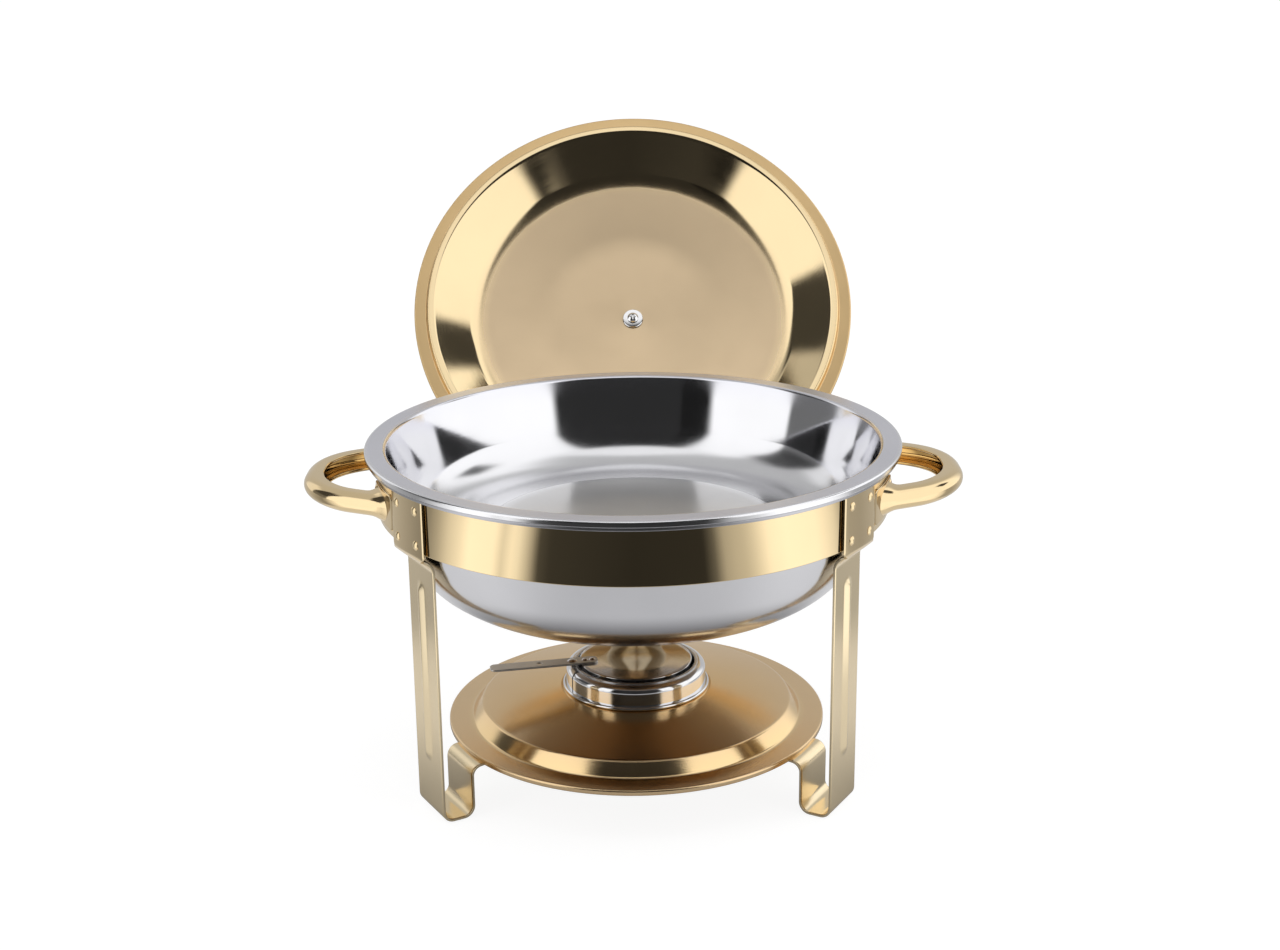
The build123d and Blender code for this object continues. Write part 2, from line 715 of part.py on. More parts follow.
save("lid_cradle", lid_cradle())
save("cradle_bracket", cradle_bracket())
save("bracket_rivets", rivets(
    [((side * bracket_rivet_x, 0, bracket_z), 90.0) for side in (-1, 1)],
    leg_face_r - leg_t - 0.01, leg_face_r + bracket_t + 0.01))
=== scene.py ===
# Chafing dish: a gold three-legged stand with two carry handles holds a water pan and a food
# pan over a fuel cup; the round lid leans in a cradle behind them.
# The dish stands upright on the floor, z = 0, with its axis on the origin. The front faces -Y,
# +X is right. The lid's hollow side faces forward and up, its knob backward and down.
# Dimensions are in millimetres and degrees; MM turns them into metres. Materials, floor, lights
# and world use metres.
import json
import math
from math import atan2, cos, degrees, hypot, pi, radians, sin, sqrt, tan

import bmesh
import bpy
from mathutils import Matrix, Vector


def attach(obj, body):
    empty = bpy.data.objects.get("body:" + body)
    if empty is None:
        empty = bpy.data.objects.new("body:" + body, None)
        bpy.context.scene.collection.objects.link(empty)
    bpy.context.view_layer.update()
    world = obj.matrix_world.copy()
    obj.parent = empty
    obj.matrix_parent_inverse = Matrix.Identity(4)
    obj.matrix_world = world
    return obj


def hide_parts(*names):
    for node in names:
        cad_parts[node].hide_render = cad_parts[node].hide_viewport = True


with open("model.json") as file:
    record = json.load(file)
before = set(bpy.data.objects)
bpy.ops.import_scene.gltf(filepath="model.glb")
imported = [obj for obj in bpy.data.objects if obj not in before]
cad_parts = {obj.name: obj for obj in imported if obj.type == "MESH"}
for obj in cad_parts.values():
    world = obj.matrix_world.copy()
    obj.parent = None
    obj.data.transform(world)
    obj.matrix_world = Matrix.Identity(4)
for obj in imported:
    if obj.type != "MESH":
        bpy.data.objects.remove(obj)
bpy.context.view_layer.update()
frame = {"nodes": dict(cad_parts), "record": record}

MM = 0.001

# ---------------------------------------------------------------- dimensions
# Suffixes: _R radius from the main axis, _Z height, _T sheet thickness, _W width

# Food pan
RIM_Z = 206.5
RIM_R = 156.0
RIM_SKIRT_Z = 203.35
MOUTH_R = 144.0
FOOD_T = 0.8
FOOD_FOOT_R = 129.0
FOOD_FOOT_ROUND = 28.0
FOOD_FLOOR_Z = 152.0
FOOD_STEP_R = 86.0
FOOD_STEP_H = 3.0

# Water pan
WATER_T = 0.8
WATER_FLANGE_Z = 202.45
WATER_FLANGE_R = 153.8
WATER_SKIRT_Z = 201.0
WATER_WALL_R = 146.4
WATER_BELLY_R = 131.0
WATER_BELLY_Z = 136.0
WATER_FLOOR_R = 105.0
WATER_FLOOR_Z = 113.5

# Band round the top of the stand
BAND_R = 149.2
BAND_T = 1.0
BAND_Z0 = 168.5
BAND_Z1 = 202.4
BAND_ROUND = 0.42

# Legs. Node: direction, angles of the head's edges and of its rivets about that direction
LEGS = {
    "leg_front_left": (210.0, (-1.6, 11.3), (0.9, 8.6)),
    "leg_front_right": (330.0, (-11.3, 1.6), (-8.6, -0.9)),
    "leg_rear": (90.0, (-9.6, 9.6), (-7.9, 7.9)),
}
LEG_W = 34.0
LEG_T = 1.8
LEG_FACE_R = 138.0
LEG_KNEE_Z = 156.5
FOOT_IN_R = 117.6
FOOT_ROUND = 7.0
TAB_Z = 32.0
TAB_R = 103.0
HEAD_R = 151.4
HEAD_BEND_Z = 165.0
HEAD_TOP_Z = 199.0
HEAD_RIVET_Z = (173.5, 193.0)
RIB_W = 9.0
RIB_Z0 = 35.0
RIB_Z1 = 143.0

# Carry handles and the lugs that hold them to the band
HANDLE_X = 192.5
HANDLE_HALF = 35.9
HANDLE_ROOT_X = 139.0
HANDLE_ROOT_Y = 60.0
HANDLE_ROUND = 50.0
HANDLE_DEPTH = 12.0
HANDLE_Z0 = 176.2
HANDLE_Z1 = 188.8
LUG_R0 = 149.25
LUG_R1 = 150.9
LUG_ANGLES = (12.8, 28.0)
LUG_Z0 = 172.5
LUG_Z1 = 193.5
LUG_RIVET_ANGLE = 15.6
LUG_RIVET_Z = (176.8, 189.2)

# Base plate and fuel holder
PLATE_T = 1.0
PLATE_R = 113.5
PLATE_Z = 35.0
PLATE_FLAT_R = 99.6
PLATE_RIDGE_R = 93.0
PLATE_RIDGE_Z = 43.5
PLATE_COLLAR_R = 45.6
PLATE_COLLAR_Z = 51.2
PLATE_LIP_R = 42.7
SLEEVE_R = 42.2
SLEEVE_T = 0.9
SLEEVE_Z0 = 40.0
SLEEVE_Z1 = 65.3
SLEEVE_MOUTH_R = 36.3
BEAD_R = 44.3
BEAD_Z = 52.4
SEAM_ANGLE = 206.0
SEAM_HALF_W = 0.6
CUP_RIM_R = 37.3
CUP_R = 35.4
CUP_T = 0.6
CUP_FLOOR_Z = 42.0
CUP_TOP_Z = 65.95

# Snuffer: a disc over the cup, on a strip handle that swings on a pin
COVER_R = 34.0
COVER_Z0 = 66.7
COVER_Z1 = 67.5
COVER_DISH_R = 21.5
SWING_ANGLE = 191.0
PIVOT_R = 39.0
STRIP_W = 9.5
STRIP_T = 1.2
STRIP_R0 = 23.6
STRIP_R1 = 88.6
STRIP_HOLE_R = 58.9

# Lid and cradle
LID_R = 153.0
LID_T = 0.8
LID_LEAN = 40.0
LID_CENTRE = (0.0, 240.0, 234.5)
LID_DISH = 23.6
ARM_T = 2.2
ARM_D = 24.6
ARM_X = 55.0
ARM_W = 8.0
ARM_FOOT = -144.5
BRACKET_RIVET_X = 11.5
BRACKET_RIVET_Z = 88.0


# ---------------------------------------------------------------- outlines
def unit(start, end):
    dx, dy = end[0] - start[0], end[1] - start[1]
    length = hypot(dx, dy)
    return dx / length, dy / length


def smoothstep(x, start, end):
    share = min(1.0, max(0.0, (x - start) / (end - start)))
    return share * share * (3 - 2 * share)


def arc_points(x, y, radius, start, end, steps, radius_y=None):
    """Points on an arc or ellipse from one angle to another, both in degrees."""
    angles = [radians(start + (end - start) * k / steps) for k in range(steps + 1)]
    return [(x + radius * cos(a), y + (radius_y or radius) * sin(a)) for a in angles]


def round_corners(points, radii, steps=8):
    """Open path with rounded corners, and support points beside each arc."""
    path = [points[0]]

    def line_to(start, end):
        length = hypot(end[0] - start[0], end[1] - start[1])
        if length > 1.2:
            for k in (0.25 / length, 0.5, 1 - 0.25 / length):
                path.append((start[0] + (end[0] - start[0]) * k, start[1] + (end[1] - start[1]) * k))
        if length > 1e-6:
            path.append(end)

    here = points[0]
    for before, corner, after, radius in zip(points, points[1:], points[2:], radii):
        if radius < 0.05:
            line_to(here, corner)
            here = corner
            continue
        d1, d2 = unit(before, corner), unit(corner, after)
        cross = d1[0] * d2[1] - d1[1] * d2[0]
        turn = atan2(abs(cross), d1[0] * d2[0] + d1[1] * d2[1])
        side = 1 if cross > 0 else -1
        cut = radius * tan(turn / 2)
        start = (corner[0] - d1[0] * cut, corner[1] - d1[1] * cut)
        line_to(here, start)
        centre = (start[0] - d1[1] * radius * side, start[1] + d1[0] * radius * side)
        first = atan2(start[1] - centre[1], start[0] - centre[0])
        count = max(3, int(steps * turn / 0.8) + (6 if radius > 15 else 0))
        for k in range(1, count + 1):
            angle = first + side * turn * k / count
            path.append((centre[0] + radius * cos(angle), centre[1] + radius * sin(angle)))
        here = (corner[0] + d2[0] * cut, corner[1] + d2[1] * cut)
    line_to(here, points[-1])
    return path


def offset_path(points, radii, offset):
    """Path moved to the right of its travel, with its corner radii changed to match."""
    sides = []
    for a, b in zip(points, points[1:]):
        d = unit(a, b)
        shift = (d[1] * offset, -d[0] * offset)
        sides.append(((a[0] + shift[0], a[1] + shift[1]), (b[0] + shift[0], b[1] + shift[1]), d))
    path, new_radii = [sides[0][0]], []
    for (p, _, d), (q, _, e), radius in zip(sides, sides[1:], radii):
        cross = d[0] * e[1] - d[1] * e[0]
        k = ((q[0] - p[0]) * e[1] - (q[1] - p[1]) * e[0]) / cross
        path.append((p[0] + d[0] * k, p[1] + d[1] * k))
        new_radii.append(max(0.0, radius + (-offset if cross < 0 else offset)))
    path.append(sides[-1][1])
    return path, new_radii


def sheet_edge(a, b, outward, steps=5, bulge=0.6):
    """Rounded edge between the two faces of a sheet, from a to b."""
    centre = ((a[0] + b[0]) / 2, (a[1] + b[1]) / 2)
    radius = hypot(a[0] - b[0], a[1] - b[1]) / 2
    across = ((a[0] - centre[0]) / radius, (a[1] - centre[1]) / radius)
    return [tuple(centre[i] + radius * (across[i] * cos(t) + bulge * outward[i] * sin(t))
                  for i in (0, 1))
            for t in [pi * k / steps for k in range(1, steps)]]


def sheet(points, radii, thickness, steps=8, ends=True):
    """Closed section of a bent sheet; edges off the axis are rounded if ends is set."""
    face = round_corners(points, radii, steps)
    back = round_corners(*offset_path(points, radii, thickness), steps)
    loop = list(face)
    if points[-1][0] > 0.01 and ends:
        loop += sheet_edge(face[-1], back[-1], unit(points[-2], points[-1]))
    loop += reversed(back)
    if points[0][0] > 0.01 and ends:
        loop += sheet_edge(back[0], face[0], unit(points[1], points[0]))
    return loop


def dome(base, radius, height):
    """Outline of a spherical cap, from its rim up to the axis."""
    sphere_r = (radius * radius + height * height) / (2 * height)
    spread = degrees(atan2(radius, sphere_r - height))
    return arc_points(0, base + height - sphere_r, sphere_r, 90 - spread, 90, 8)


# ---------------------------------------------------------------- mesh builders
def clean(bm):
    bmesh.ops.remove_doubles(bm, verts=bm.verts, dist=1e-6)
    bmesh.ops.dissolve_degenerate(bm, edges=bm.edges, dist=1e-7)
    bmesh.ops.recalc_face_normals(bm, faces=bm.faces)


BODY = {node: body for body, nodes in frame["record"]["behaviour"]["bodies"].items()
        for node in nodes}
finishes = {}       # material of each CAD node that has a detailed piece


def register(obj, node):
    """Puts a detailed piece in place of its CAD node."""
    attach(obj, BODY[node])
    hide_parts(node)
    finishes[node] = obj.data.materials[0]


def piece(node, bm, material, sharp=32.0, matrix=None, name=None):
    """Turns a bmesh into the finished piece for a node."""
    clean(bm)
    name = name or node + "_visual"
    mesh = bpy.data.meshes.new(name)
    bm.to_mesh(mesh)
    bm.free()
    mesh.shade_smooth()
    mesh.set_sharp_from_angle(angle=radians(sharp))
    obj = bpy.data.objects.new(name, mesh)
    bpy.context.scene.collection.objects.link(obj)
    mesh.materials.append(material)
    if matrix:
        obj.matrix_world = matrix
        bpy.context.view_layer.update()
    register(obj, node)


def full_turn(segments):
    return [2 * pi * k / segments for k in range(segments)]


def add_lathe(bm, loop, angles, centre=(0, 0), skip=None):
    """Turns a closed (radius, height) loop about Z; skip tells which faces to leave out."""
    rings = [[bm.verts.new(((r * cos(t) + centre[0]) * MM, (r * sin(t) + centre[1]) * MM, z * MM))
              for r, z in loop] for t in angles]
    for i, ring in enumerate(rings):
        after = (i + 1) % len(rings)
        for j, point in enumerate(loop):
            k = (j + 1) % len(loop)
            if point[0] < 1e-4 and loop[k][0] < 1e-4:
                continue
            if skip and skip(angles[i], angles[after], point, loop[k]):
                continue
            bm.faces.new((ring[j], rings[after][j], rings[after][k], ring[k]))


def lathe_piece(node, loop, material, segments, **options):
    bm = bmesh.new()
    add_lathe(bm, loop, full_turn(segments))
    piece(node, bm, material, **options)


def add_part(bm, part, matrix):
    """Moves one bmesh into another and frees it."""
    part.transform(matrix)
    mesh = bpy.data.meshes.new("part")
    part.to_mesh(mesh)
    part.free()
    bm.from_mesh(mesh)
    bpy.data.meshes.remove(mesh)


def extrusion(loop, width, bevel):
    """Closed loop in local x, y, extruded by half the width to each side, with bevelled rims."""
    bm = bmesh.new()
    low, high = [[bm.verts.new((x * MM, y * MM, z * MM)) for x, y in loop]
                 for z in (-width / 2, width / 2)]
    for j in range(len(loop)):
        k = (j + 1) % len(loop)
        bm.faces.new((low[j], low[k], high[k], high[j]))
    caps = [bm.faces.new(low[::-1]), bm.faces.new(high)]
    rims = [edge for cap in caps for edge in cap.edges]
    bmesh.ops.bevel(bm, geom=rims, offset=bevel * MM, segments=2, profile=0.5, affect="EDGES")
    bmesh.ops.triangulate(bm, faces=[face for face in bm.faces if len(face.verts) > 4])
    clean(bm)
    return bm


def join_grids(bm, one, two):
    """Closed plate between two grids of vertices of the same size."""
    rows, cols = len(one) - 1, len(one[0]) - 1
    for i in range(rows):
        for k in range(cols):
            bm.faces.new((one[i][k], one[i][k + 1], one[i + 1][k + 1], one[i + 1][k]))
            bm.faces.new((two[i][k], two[i + 1][k], two[i + 1][k + 1], two[i][k + 1]))
        for k in (0, cols):
            bm.faces.new((one[i][k], one[i + 1][k], two[i + 1][k], two[i][k]))
    for i in (0, rows):
        for k in range(cols):
            bm.faces.new((one[i][k], two[i][k], two[i][k + 1], one[i][k + 1]))


# ---------------------------------------------------------------- shader graphs
class Graph:
    """Short calls for building a node tree. Any input may be a value or a socket."""

    def __init__(self, tree):
        self.tree = tree
        tree.nodes.clear()

    def node(self, kind, inputs=None, **settings):
        node = self.tree.nodes.new("ShaderNode" + kind)
        for key, value in settings.items():
            setattr(node, key, value)
        for key, value in (inputs or {}).items():
            if isinstance(value, bpy.types.NodeSocket):
                self.tree.links.new(value, node.inputs[key])
            else:
                node.inputs[key].default_value = value
        return node

    def out(self, kind, inputs=None, **settings):
        return self.node(kind, inputs, **settings).outputs[0]

    def math(self, operation, a, b=None, clamp=False):
        inputs = {0: a} if b is None else {0: a, 1: b}
        return self.out("Math", inputs, operation=operation, use_clamp=clamp)

    def mul(self, a, b):
        return self.math("MULTIPLY", a, b)

    def add(self, a, b):
        return self.math("ADD", a, b)

    def blend(self, share, a, b):
        rest = self.math("SUBTRACT", 1.0, share)
        return self.add(self.mul(rest, a), self.mul(share, b))

    def radius(self, x, y):
        return self.math("SQRT", self.add(self.mul(x, x), self.mul(y, y)))

    def azimuth(self, x, y):
        """Unsigned and signed angle from the front (-Y), positive to the right."""
        signed = self.math("ARCTAN2", x, self.mul(y, -1.0))
        return self.math("ABSOLUTE", signed), signed

    def map_range(self, value, source, target, **settings):
        return self.out("MapRange", {0: value, "From Min": source[0], "From Max": source[1],
                                     "To Min": target[0], "To Max": target[1]}, **settings)

    def smooth(self, value, source, target=(0, 1)):
        return self.map_range(value, source, target, interpolation_type="SMOOTHSTEP")

    def noise(self, vector, scale, detail, **more):
        return self.out("TexNoise", {"Vector": vector, "Scale": scale, "Detail": detail, **more})

    def ramp(self, share, stops):
        """Colour ramp from (position, colour) stops."""
        node = self.node("ValToRGB", {0: share})
        elements = node.color_ramp.elements
        while len(elements) > 1:
            elements.remove(elements[-1])
        elements[0].position = stops[0][0]
        elements[0].color = (*stops[0][1], 1)
        for position, colour in stops[1:]:
            elements.new(position).color = (*colour, 1)
        return node.outputs[0]

    def split_camera(self, reflected, seen):
        """One shader for camera rays, the other for all the rest."""
        camera_ray = self.node("LightPath").outputs["Is Camera Ray"]
        return self.out("MixShader", {0: camera_ray, 1: reflected, 2: seen})


# ---------------------------------------------------------------- materials
BRUSH_SCALE = {"X": (40, 2200, 2200), "Z": (2200, 2200, 40)}


def metal(name, colour=None, roughness=None, zones=None, zone_r=None, spun=0.0, spun_freq=2600.0,
          brush_axis=None, brush=0.0, aniso=0.0, waves=0.0, dirt=0.05, upper=None):
    """Metal in one colour and roughness, or in rings about local Z.

    zones: (share of zone_r, colour, roughness) from the axis outwards
    spun, brush, waves: bump strength of turning marks, straight brushing and slow dents
    dirt: roughness added by smudges
    upper: (start z, end z, colour, roughness) of a polished part above a height
    """
    material = bpy.data.materials.new(name)
    material.use_nodes = True
    graph = Graph(material.node_tree)
    place = graph.node("TexCoord").outputs["Object"]
    axes = graph.node("SeparateXYZ", {0: place}).outputs
    if zones or spun:
        radius = graph.radius(axes[0], axes[1])

    if zones:
        share = graph.math("DIVIDE", radius, zone_r, clamp=True)
        tone = graph.ramp(share, [(at, zone_colour) for at, zone_colour, _ in zones])
        rough = graph.ramp(share, [(at, (level,) * 3) for at, _, level in zones])
    else:
        tone = graph.out("RGB")
        tone.default_value = (*colour, 1)
        rough = graph.out("Value")
        rough.default_value = roughness
    if upper:
        start, end, upper_colour, upper_rough = upper
        mask = graph.smooth(axes[2], (start, end))
        mixed = graph.node("Mix", data_type="RGBA", inputs={0: mask, 6: tone, 7: (*upper_colour, 1)})
        tone = mixed.outputs[2]
        below = graph.math("SUBTRACT", 1.0, mask)
        rough = graph.add(graph.mul(rough, below), graph.mul(mask, upper_rough))

    # Slow drift in the brightness of the plating
    drift = graph.noise(place, scale=14.0, detail=3.0)
    value = graph.map_range(drift, (0.3, 0.7), (0.97, 1.03))
    tone = graph.out("HueSaturation", {"Color": tone, "Value": value})

    # Smudges, then hairline scratches
    smudge = graph.noise(place, scale=38.0, detail=6.0, Distortion=0.6)
    rough = graph.add(rough, graph.map_range(smudge, (0.45, 0.8), (0.0, dirt)))
    stretched = graph.out("Mapping", {"Vector": place, "Scale": (60, 900, 900),
                                      "Rotation": (0.4, 0.3, 0.9)})
    hairline = graph.noise(stretched, scale=1.0, detail=2.0)
    scratches = graph.map_range(hairline, (0.68, 0.78), (0.0, 0.04))
    rough = graph.math("ADD", rough, scratches, clamp=True)
    inputs = {"Metallic": 1.0, "Base Color": tone, "Roughness": rough}
    if aniso:
        inputs["Anisotropic"] = aniso
        inputs["Tangent"] = graph.out("Tangent", direction_type="RADIAL", axis="Z")

    def bump(height, strength, distance):
        node = graph.node("Bump", {"Strength": strength, "Distance": distance, "Height": height})
        if upper:       # no marks on the polished part
            graph.tree.links.new(graph.mul(below, strength), node.inputs["Strength"])
        if "Normal" in inputs:
            graph.tree.links.new(inputs["Normal"], node.inputs["Normal"])
        inputs["Normal"] = node.outputs[0]

    if waves:
        bump(graph.noise(place, scale=9.0, detail=1.0), waves, distance=0.01)
    if spun:
        marks = graph.out("TexNoise", noise_dimensions="1D", inputs={
            "Scale": 1.0, "Detail": 3.0, "W": graph.mul(radius, spun_freq)})
        bump(marks, spun, distance=0.0002)
    if brush_axis:
        stretched = graph.out("Mapping", {"Vector": place, "Scale": BRUSH_SCALE[brush_axis]})
        bump(graph.noise(stretched, scale=1.0, detail=2.0), brush, distance=0.0002)
    graph.node("OutputMaterial", {0: graph.out("BsdfPrincipled", inputs)})
    return material


GOLD = (0.88, 0.70, 0.42)
LID_SATIN = (0.84, 0.65, 0.42)
LID_EDGE = (0.80, 0.57, 0.29)
PLATE_CENTRE_SHADED = (0.84, 0.57, 0.27)
PLATE_OUTER = (0.82, 0.60, 0.35)
STEEL = (0.80, 0.80, 0.82)
PAN_FLOOR = (0.76, 0.755, 0.75)
PAN_WALL = (0.82, 0.82, 0.84)
PAN_RIM = (0.78, 0.78, 0.84)

band_gold = metal("gold_polished_band", GOLD, roughness=0.055, brush_axis="Z", brush=0.008,
                  waves=0.010, dirt=0.04)
handle_gold = metal("gold_polished_handle", (0.87, 0.68, 0.40), roughness=0.09, waves=0.006,
                    dirt=0.04)
leg_gold = metal("gold_satin_leg", (0.90, 0.75, 0.50), roughness=0.22, brush_axis="Z", brush=0.03,
                 upper=(0.158, 0.165, (0.86, 0.69, 0.43), 0.085))
rivet_gold = metal("gold_rivet", GOLD, roughness=0.16, dirt=0.06)
# The plate's own gold is warm; towards the middle it is painted darker and more orange still: painted
# shade under the pans, with painted warm light bounced off the gold.
plate_gold = metal(
    "gold_spun_plate", zone_r=0.114, spun=0.10, spun_freq=3000, aniso=0.5, dirt=0.04,
    zones=[(0.0, PLATE_CENTRE_SHADED, 0.17), (0.44, PLATE_CENTRE_SHADED, 0.15), (0.62, (0.83, 0.58, 0.30), 0.17),
           (0.80, (0.83, 0.60, 0.34), 0.16), (0.86, (0.87, 0.64, 0.34), 0.12),
           (0.90, PLATE_OUTER, 0.20), (1.0, PLATE_OUTER, 0.22)])
lid_gold = metal(
    "gold_lid", zone_r=0.153, spun=0.05, spun_freq=2400, aniso=0.2, dirt=0.04,
    zones=[(0.0, LID_SATIN, 0.36), (0.66, LID_SATIN, 0.34), (0.71, (0.85, 0.66, 0.40), 0.22),
           (0.745, GOLD, 0.08), (0.86, GOLD, 0.07), (0.925, GOLD, 0.10),
           (0.946, LID_EDGE, 0.34), (1.0, LID_EDGE, 0.38)])
knob_gold = metal("gold_knob", GOLD, roughness=0.09, waves=0.01, dirt=0.04)
cradle_gold = metal("gold_cradle", GOLD, roughness=0.16, dirt=0.06)
food_steel = metal(
    "steel_food_pan", zone_r=0.156, spun=0.015, dirt=0.035, waves=0.02,
    zones=[(0.0, PAN_FLOOR, 0.42), (0.50, PAN_FLOOR, 0.40), (0.57, STEEL, 0.22),
           (0.80, STEEL, 0.22), (0.835, STEEL, 0.17), (0.87, PAN_WALL, 0.075),
           (0.90, PAN_WALL, 0.05), (0.925, (0.80, 0.80, 0.85), 0.16), (0.94, PAN_RIM, 0.34),
           (0.985, PAN_RIM, 0.34), (1.0, (0.84, 0.84, 0.86), 0.14)])
# The water pan is painted dark brown over its floor and lower belly: painted shade over the gold
# plate, with a painted reflection of that gold. Its flange edge is painted darker: painted shade
# where it tucks under the food pan's rim.
water_steel_painted_shade = metal(
    "steel_water_pan", zone_r=0.156, spun=0.02, waves=0.02,
    zones=[(0.0, (0.26, 0.20, 0.15), 0.24), (0.55, (0.30, 0.24, 0.19), 0.22),
           (0.66, (0.62, 0.60, 0.60), 0.20), (0.72, (0.78, 0.78, 0.81), 0.19),
           (0.95, STEEL, 0.12), (0.965, (0.60, 0.60, 0.63), 0.25), (1.0, (0.50, 0.50, 0.53), 0.30)])
sleeve_steel = metal("steel_sleeve", (0.80, 0.80, 0.81), roughness=0.10, waves=0.01)
cup_steel = metal("steel_cup", (0.70, 0.70, 0.71), roughness=0.22, dirt=0.07)
cover_steel = metal("steel_cover", (0.78, 0.76, 0.74), roughness=0.06, spun=0.02, dirt=0.04,
                    waves=0.03)
# The strip is painted dark grey-brown: painted shade where it lies under the pans. Its dull brushed
# finish is its own.
strip_steel_shaded = metal("steel_strip", (0.58, 0.56, 0.53), roughness=0.30, brush_axis="X", brush=0.08,
                    dirt=0.10)
bright_steel = metal("steel_bright", (0.86, 0.86, 0.87), roughness=0.13)


# ---------------------------------------------------------------- band
def make_band():
    outer, inner = BAND_R - BAND_ROUND, BAND_R - BAND_T + BAND_ROUND
    top, bottom = BAND_Z1 - BAND_ROUND, BAND_Z0 + BAND_ROUND
    loop = []
    for r, z, start in ((outer, top, 0), (inner, top, 90), (inner, bottom, 180),
                        (outer, bottom, 270)):
        loop += arc_points(r, z, BAND_ROUND, start, start + 90, 4)
    lathe_piece("frame_band", loop, band_gold, 360, name="ring_visual")


make_band()


# ---------------------------------------------------------------- legs
def resample(path, step):
    dense = [path[0]]
    for a, b in zip(path, path[1:]):
        count = max(1, int(math.ceil(hypot(b[0] - a[0], b[1] - a[1]) / step)))
        dense += [(a[0] + (b[0] - a[0]) * k / count, a[1] + (b[1] - a[1]) * k / count)
                  for k in range(1, count + 1)]
    return dense


def rib_height(across, z):
    """Height of the embossed rib: two slopes with a softened ridge and round ends."""
    crest, margin, softness, sink = 1.9, 0.5, 0.5, 0.7
    axis_z = min(max(z, RIB_Z0 + RIB_W / 2), RIB_Z1 - RIB_W / 2)
    away = hypot(across, z - axis_z)
    slope = (sqrt(away * away + softness) - sink) / (RIB_W / 2 + margin - sink)
    return max(0.0, crest * (1 - slope))


def make_leg(node, direction, head_span):
    """One bent strap: a curved head on the band, a face with a rib, a foot and an inner tab."""
    columns = 56
    edge_round, edge_w = 0.35, 0.55
    head_extra_t = 0.25
    tab_taper, taper_gap = 2.0, 4
    path = resample(round_corners(
        [(HEAD_R, HEAD_TOP_Z), (HEAD_R, HEAD_BEND_Z), (LEG_FACE_R, LEG_KNEE_Z), (LEG_FACE_R, 0.0),
         (FOOT_IN_R, 0.0), (FOOT_IN_R, TAB_Z - LEG_T), (TAB_R, TAB_Z - LEG_T)],
        [7.0, 8.0, FOOT_ROUND, FOOT_ROUND, 5.0], 14), step=1.1)
    foot_start = next(i for i, point in enumerate(path) if point[1] < 3)
    first, last = (radians(angle) for angle in head_span)
    head_half, head_mid = HEAD_R * (last - first) / 2, HEAD_R * (last + first) / 2
    cos_dir, sin_dir = cos(radians(direction)), sin(radians(direction))

    bm = bmesh.new()
    outer_grid, inner_grid = [], []
    for i, (r, z) in enumerate(path):
        travel = unit(path[max(0, i - 1)], path[min(len(path) - 1, i + 1)])
        inward = (travel[1], -travel[0])
        on_face = i < foot_start
        head = smoothstep(z, 158.5, 167.5) if on_face else 0.0
        half = LEG_W / 2 + (head_half - LEG_W / 2) * head
        if not on_face and r < FOOT_IN_R - taper_gap:
            half -= tab_taper * smoothstep(-r, -(FOOT_IN_R - taper_gap), -TAB_R)
        thickness = LEG_T if head < 0.5 else LEG_T + head_extra_t
        outer_row, inner_row = [], []
        for k in range(columns + 1):
            share = -1 + 2 * k / columns
            across = share * half + head_mid * head
            raised = rib_height(across, z) if on_face else 0.0
            edge = edge_round * (1 - smoothstep(half * (1 - abs(share)), 0.0, edge_w))
            for row, depth in ((outer_row, edge), (inner_row, thickness - edge)):
                flat_x = r + inward[0] * (depth - raised)
                height = z + inward[1] * (depth - raised)
                # The flat strap wraps round the band towards the head
                wrap = across / HEAD_R
                x = flat_x + (flat_x * cos(wrap) - flat_x) * head
                y = across + (flat_x * sin(wrap) - across) * head
                row.append(bm.verts.new(((x * cos_dir - y * sin_dir) * MM,
                                         (x * sin_dir + y * cos_dir) * MM, height * MM)))
        outer_grid.append(outer_row)
        inner_grid.append(inner_row)
    join_grids(bm, outer_grid, inner_grid)
    piece(node, bm, leg_gold, sharp=38)


for leg, (direction, head_span, _) in LEGS.items():
    make_leg(leg, direction, head_span)


# ---------------------------------------------------------------- rivets
def rivets(node, spots):
    """spots: (origin, direction, inner, outer), with a domed head outside and a flat tail."""
    shank_r, tail_r, tail_h, head_r, head_h = 1.5, 2.3, 0.75, 2.6, 1.0
    bm = bmesh.new()
    for origin, direction, inner, outer in spots:
        loop = [(0.0, inner - tail_h), (tail_r - 0.2, inner - tail_h), (tail_r, inner - tail_h + 0.2),
                (tail_r, inner - 0.02), (shank_r, inner), (shank_r, outer),
                (head_r - 0.1, outer), (head_r, outer + 0.1)]
        part = bmesh.new()
        add_lathe(part, loop + dome(outer + 0.1, head_r, head_h)[1:], full_turn(28))
        matrix = Vector((0, 0, 1)).rotation_difference(Vector(direction)).to_matrix().to_4x4()
        matrix.translation = Vector(origin) * MM
        add_part(bm, part, matrix)
    piece(node, bm, rivet_gold, sharp=35)


def band_rivets(node, places, outer):
    """Rivets through the band at (angle, height) places."""
    rivets(node, [((0, 0, z), (cos(radians(angle)), sin(radians(angle)), 0),
                   BAND_R - BAND_T - 0.03, outer) for angle, z in places])


band_rivets("leg_rivets", [(direction + angle, z) for direction, _, angles in LEGS.values()
                           for angle in angles for z in HEAD_RIVET_Z], HEAD_R)
band_rivets("handle_rivets", [(side + k * LUG_RIVET_ANGLE, z) for side in (0.0, 180.0)
                              for k in (-1, 1) for z in LUG_RIVET_Z], LUG_R1)
rivets("bracket_rivets", [((side * BRACKET_RIVET_X, 0, BRACKET_RIVET_Z), (0, 1, 0),
                           LEG_FACE_R - LEG_T - 0.01, LEG_FACE_R + 2.01) for side in (-1, 1)])


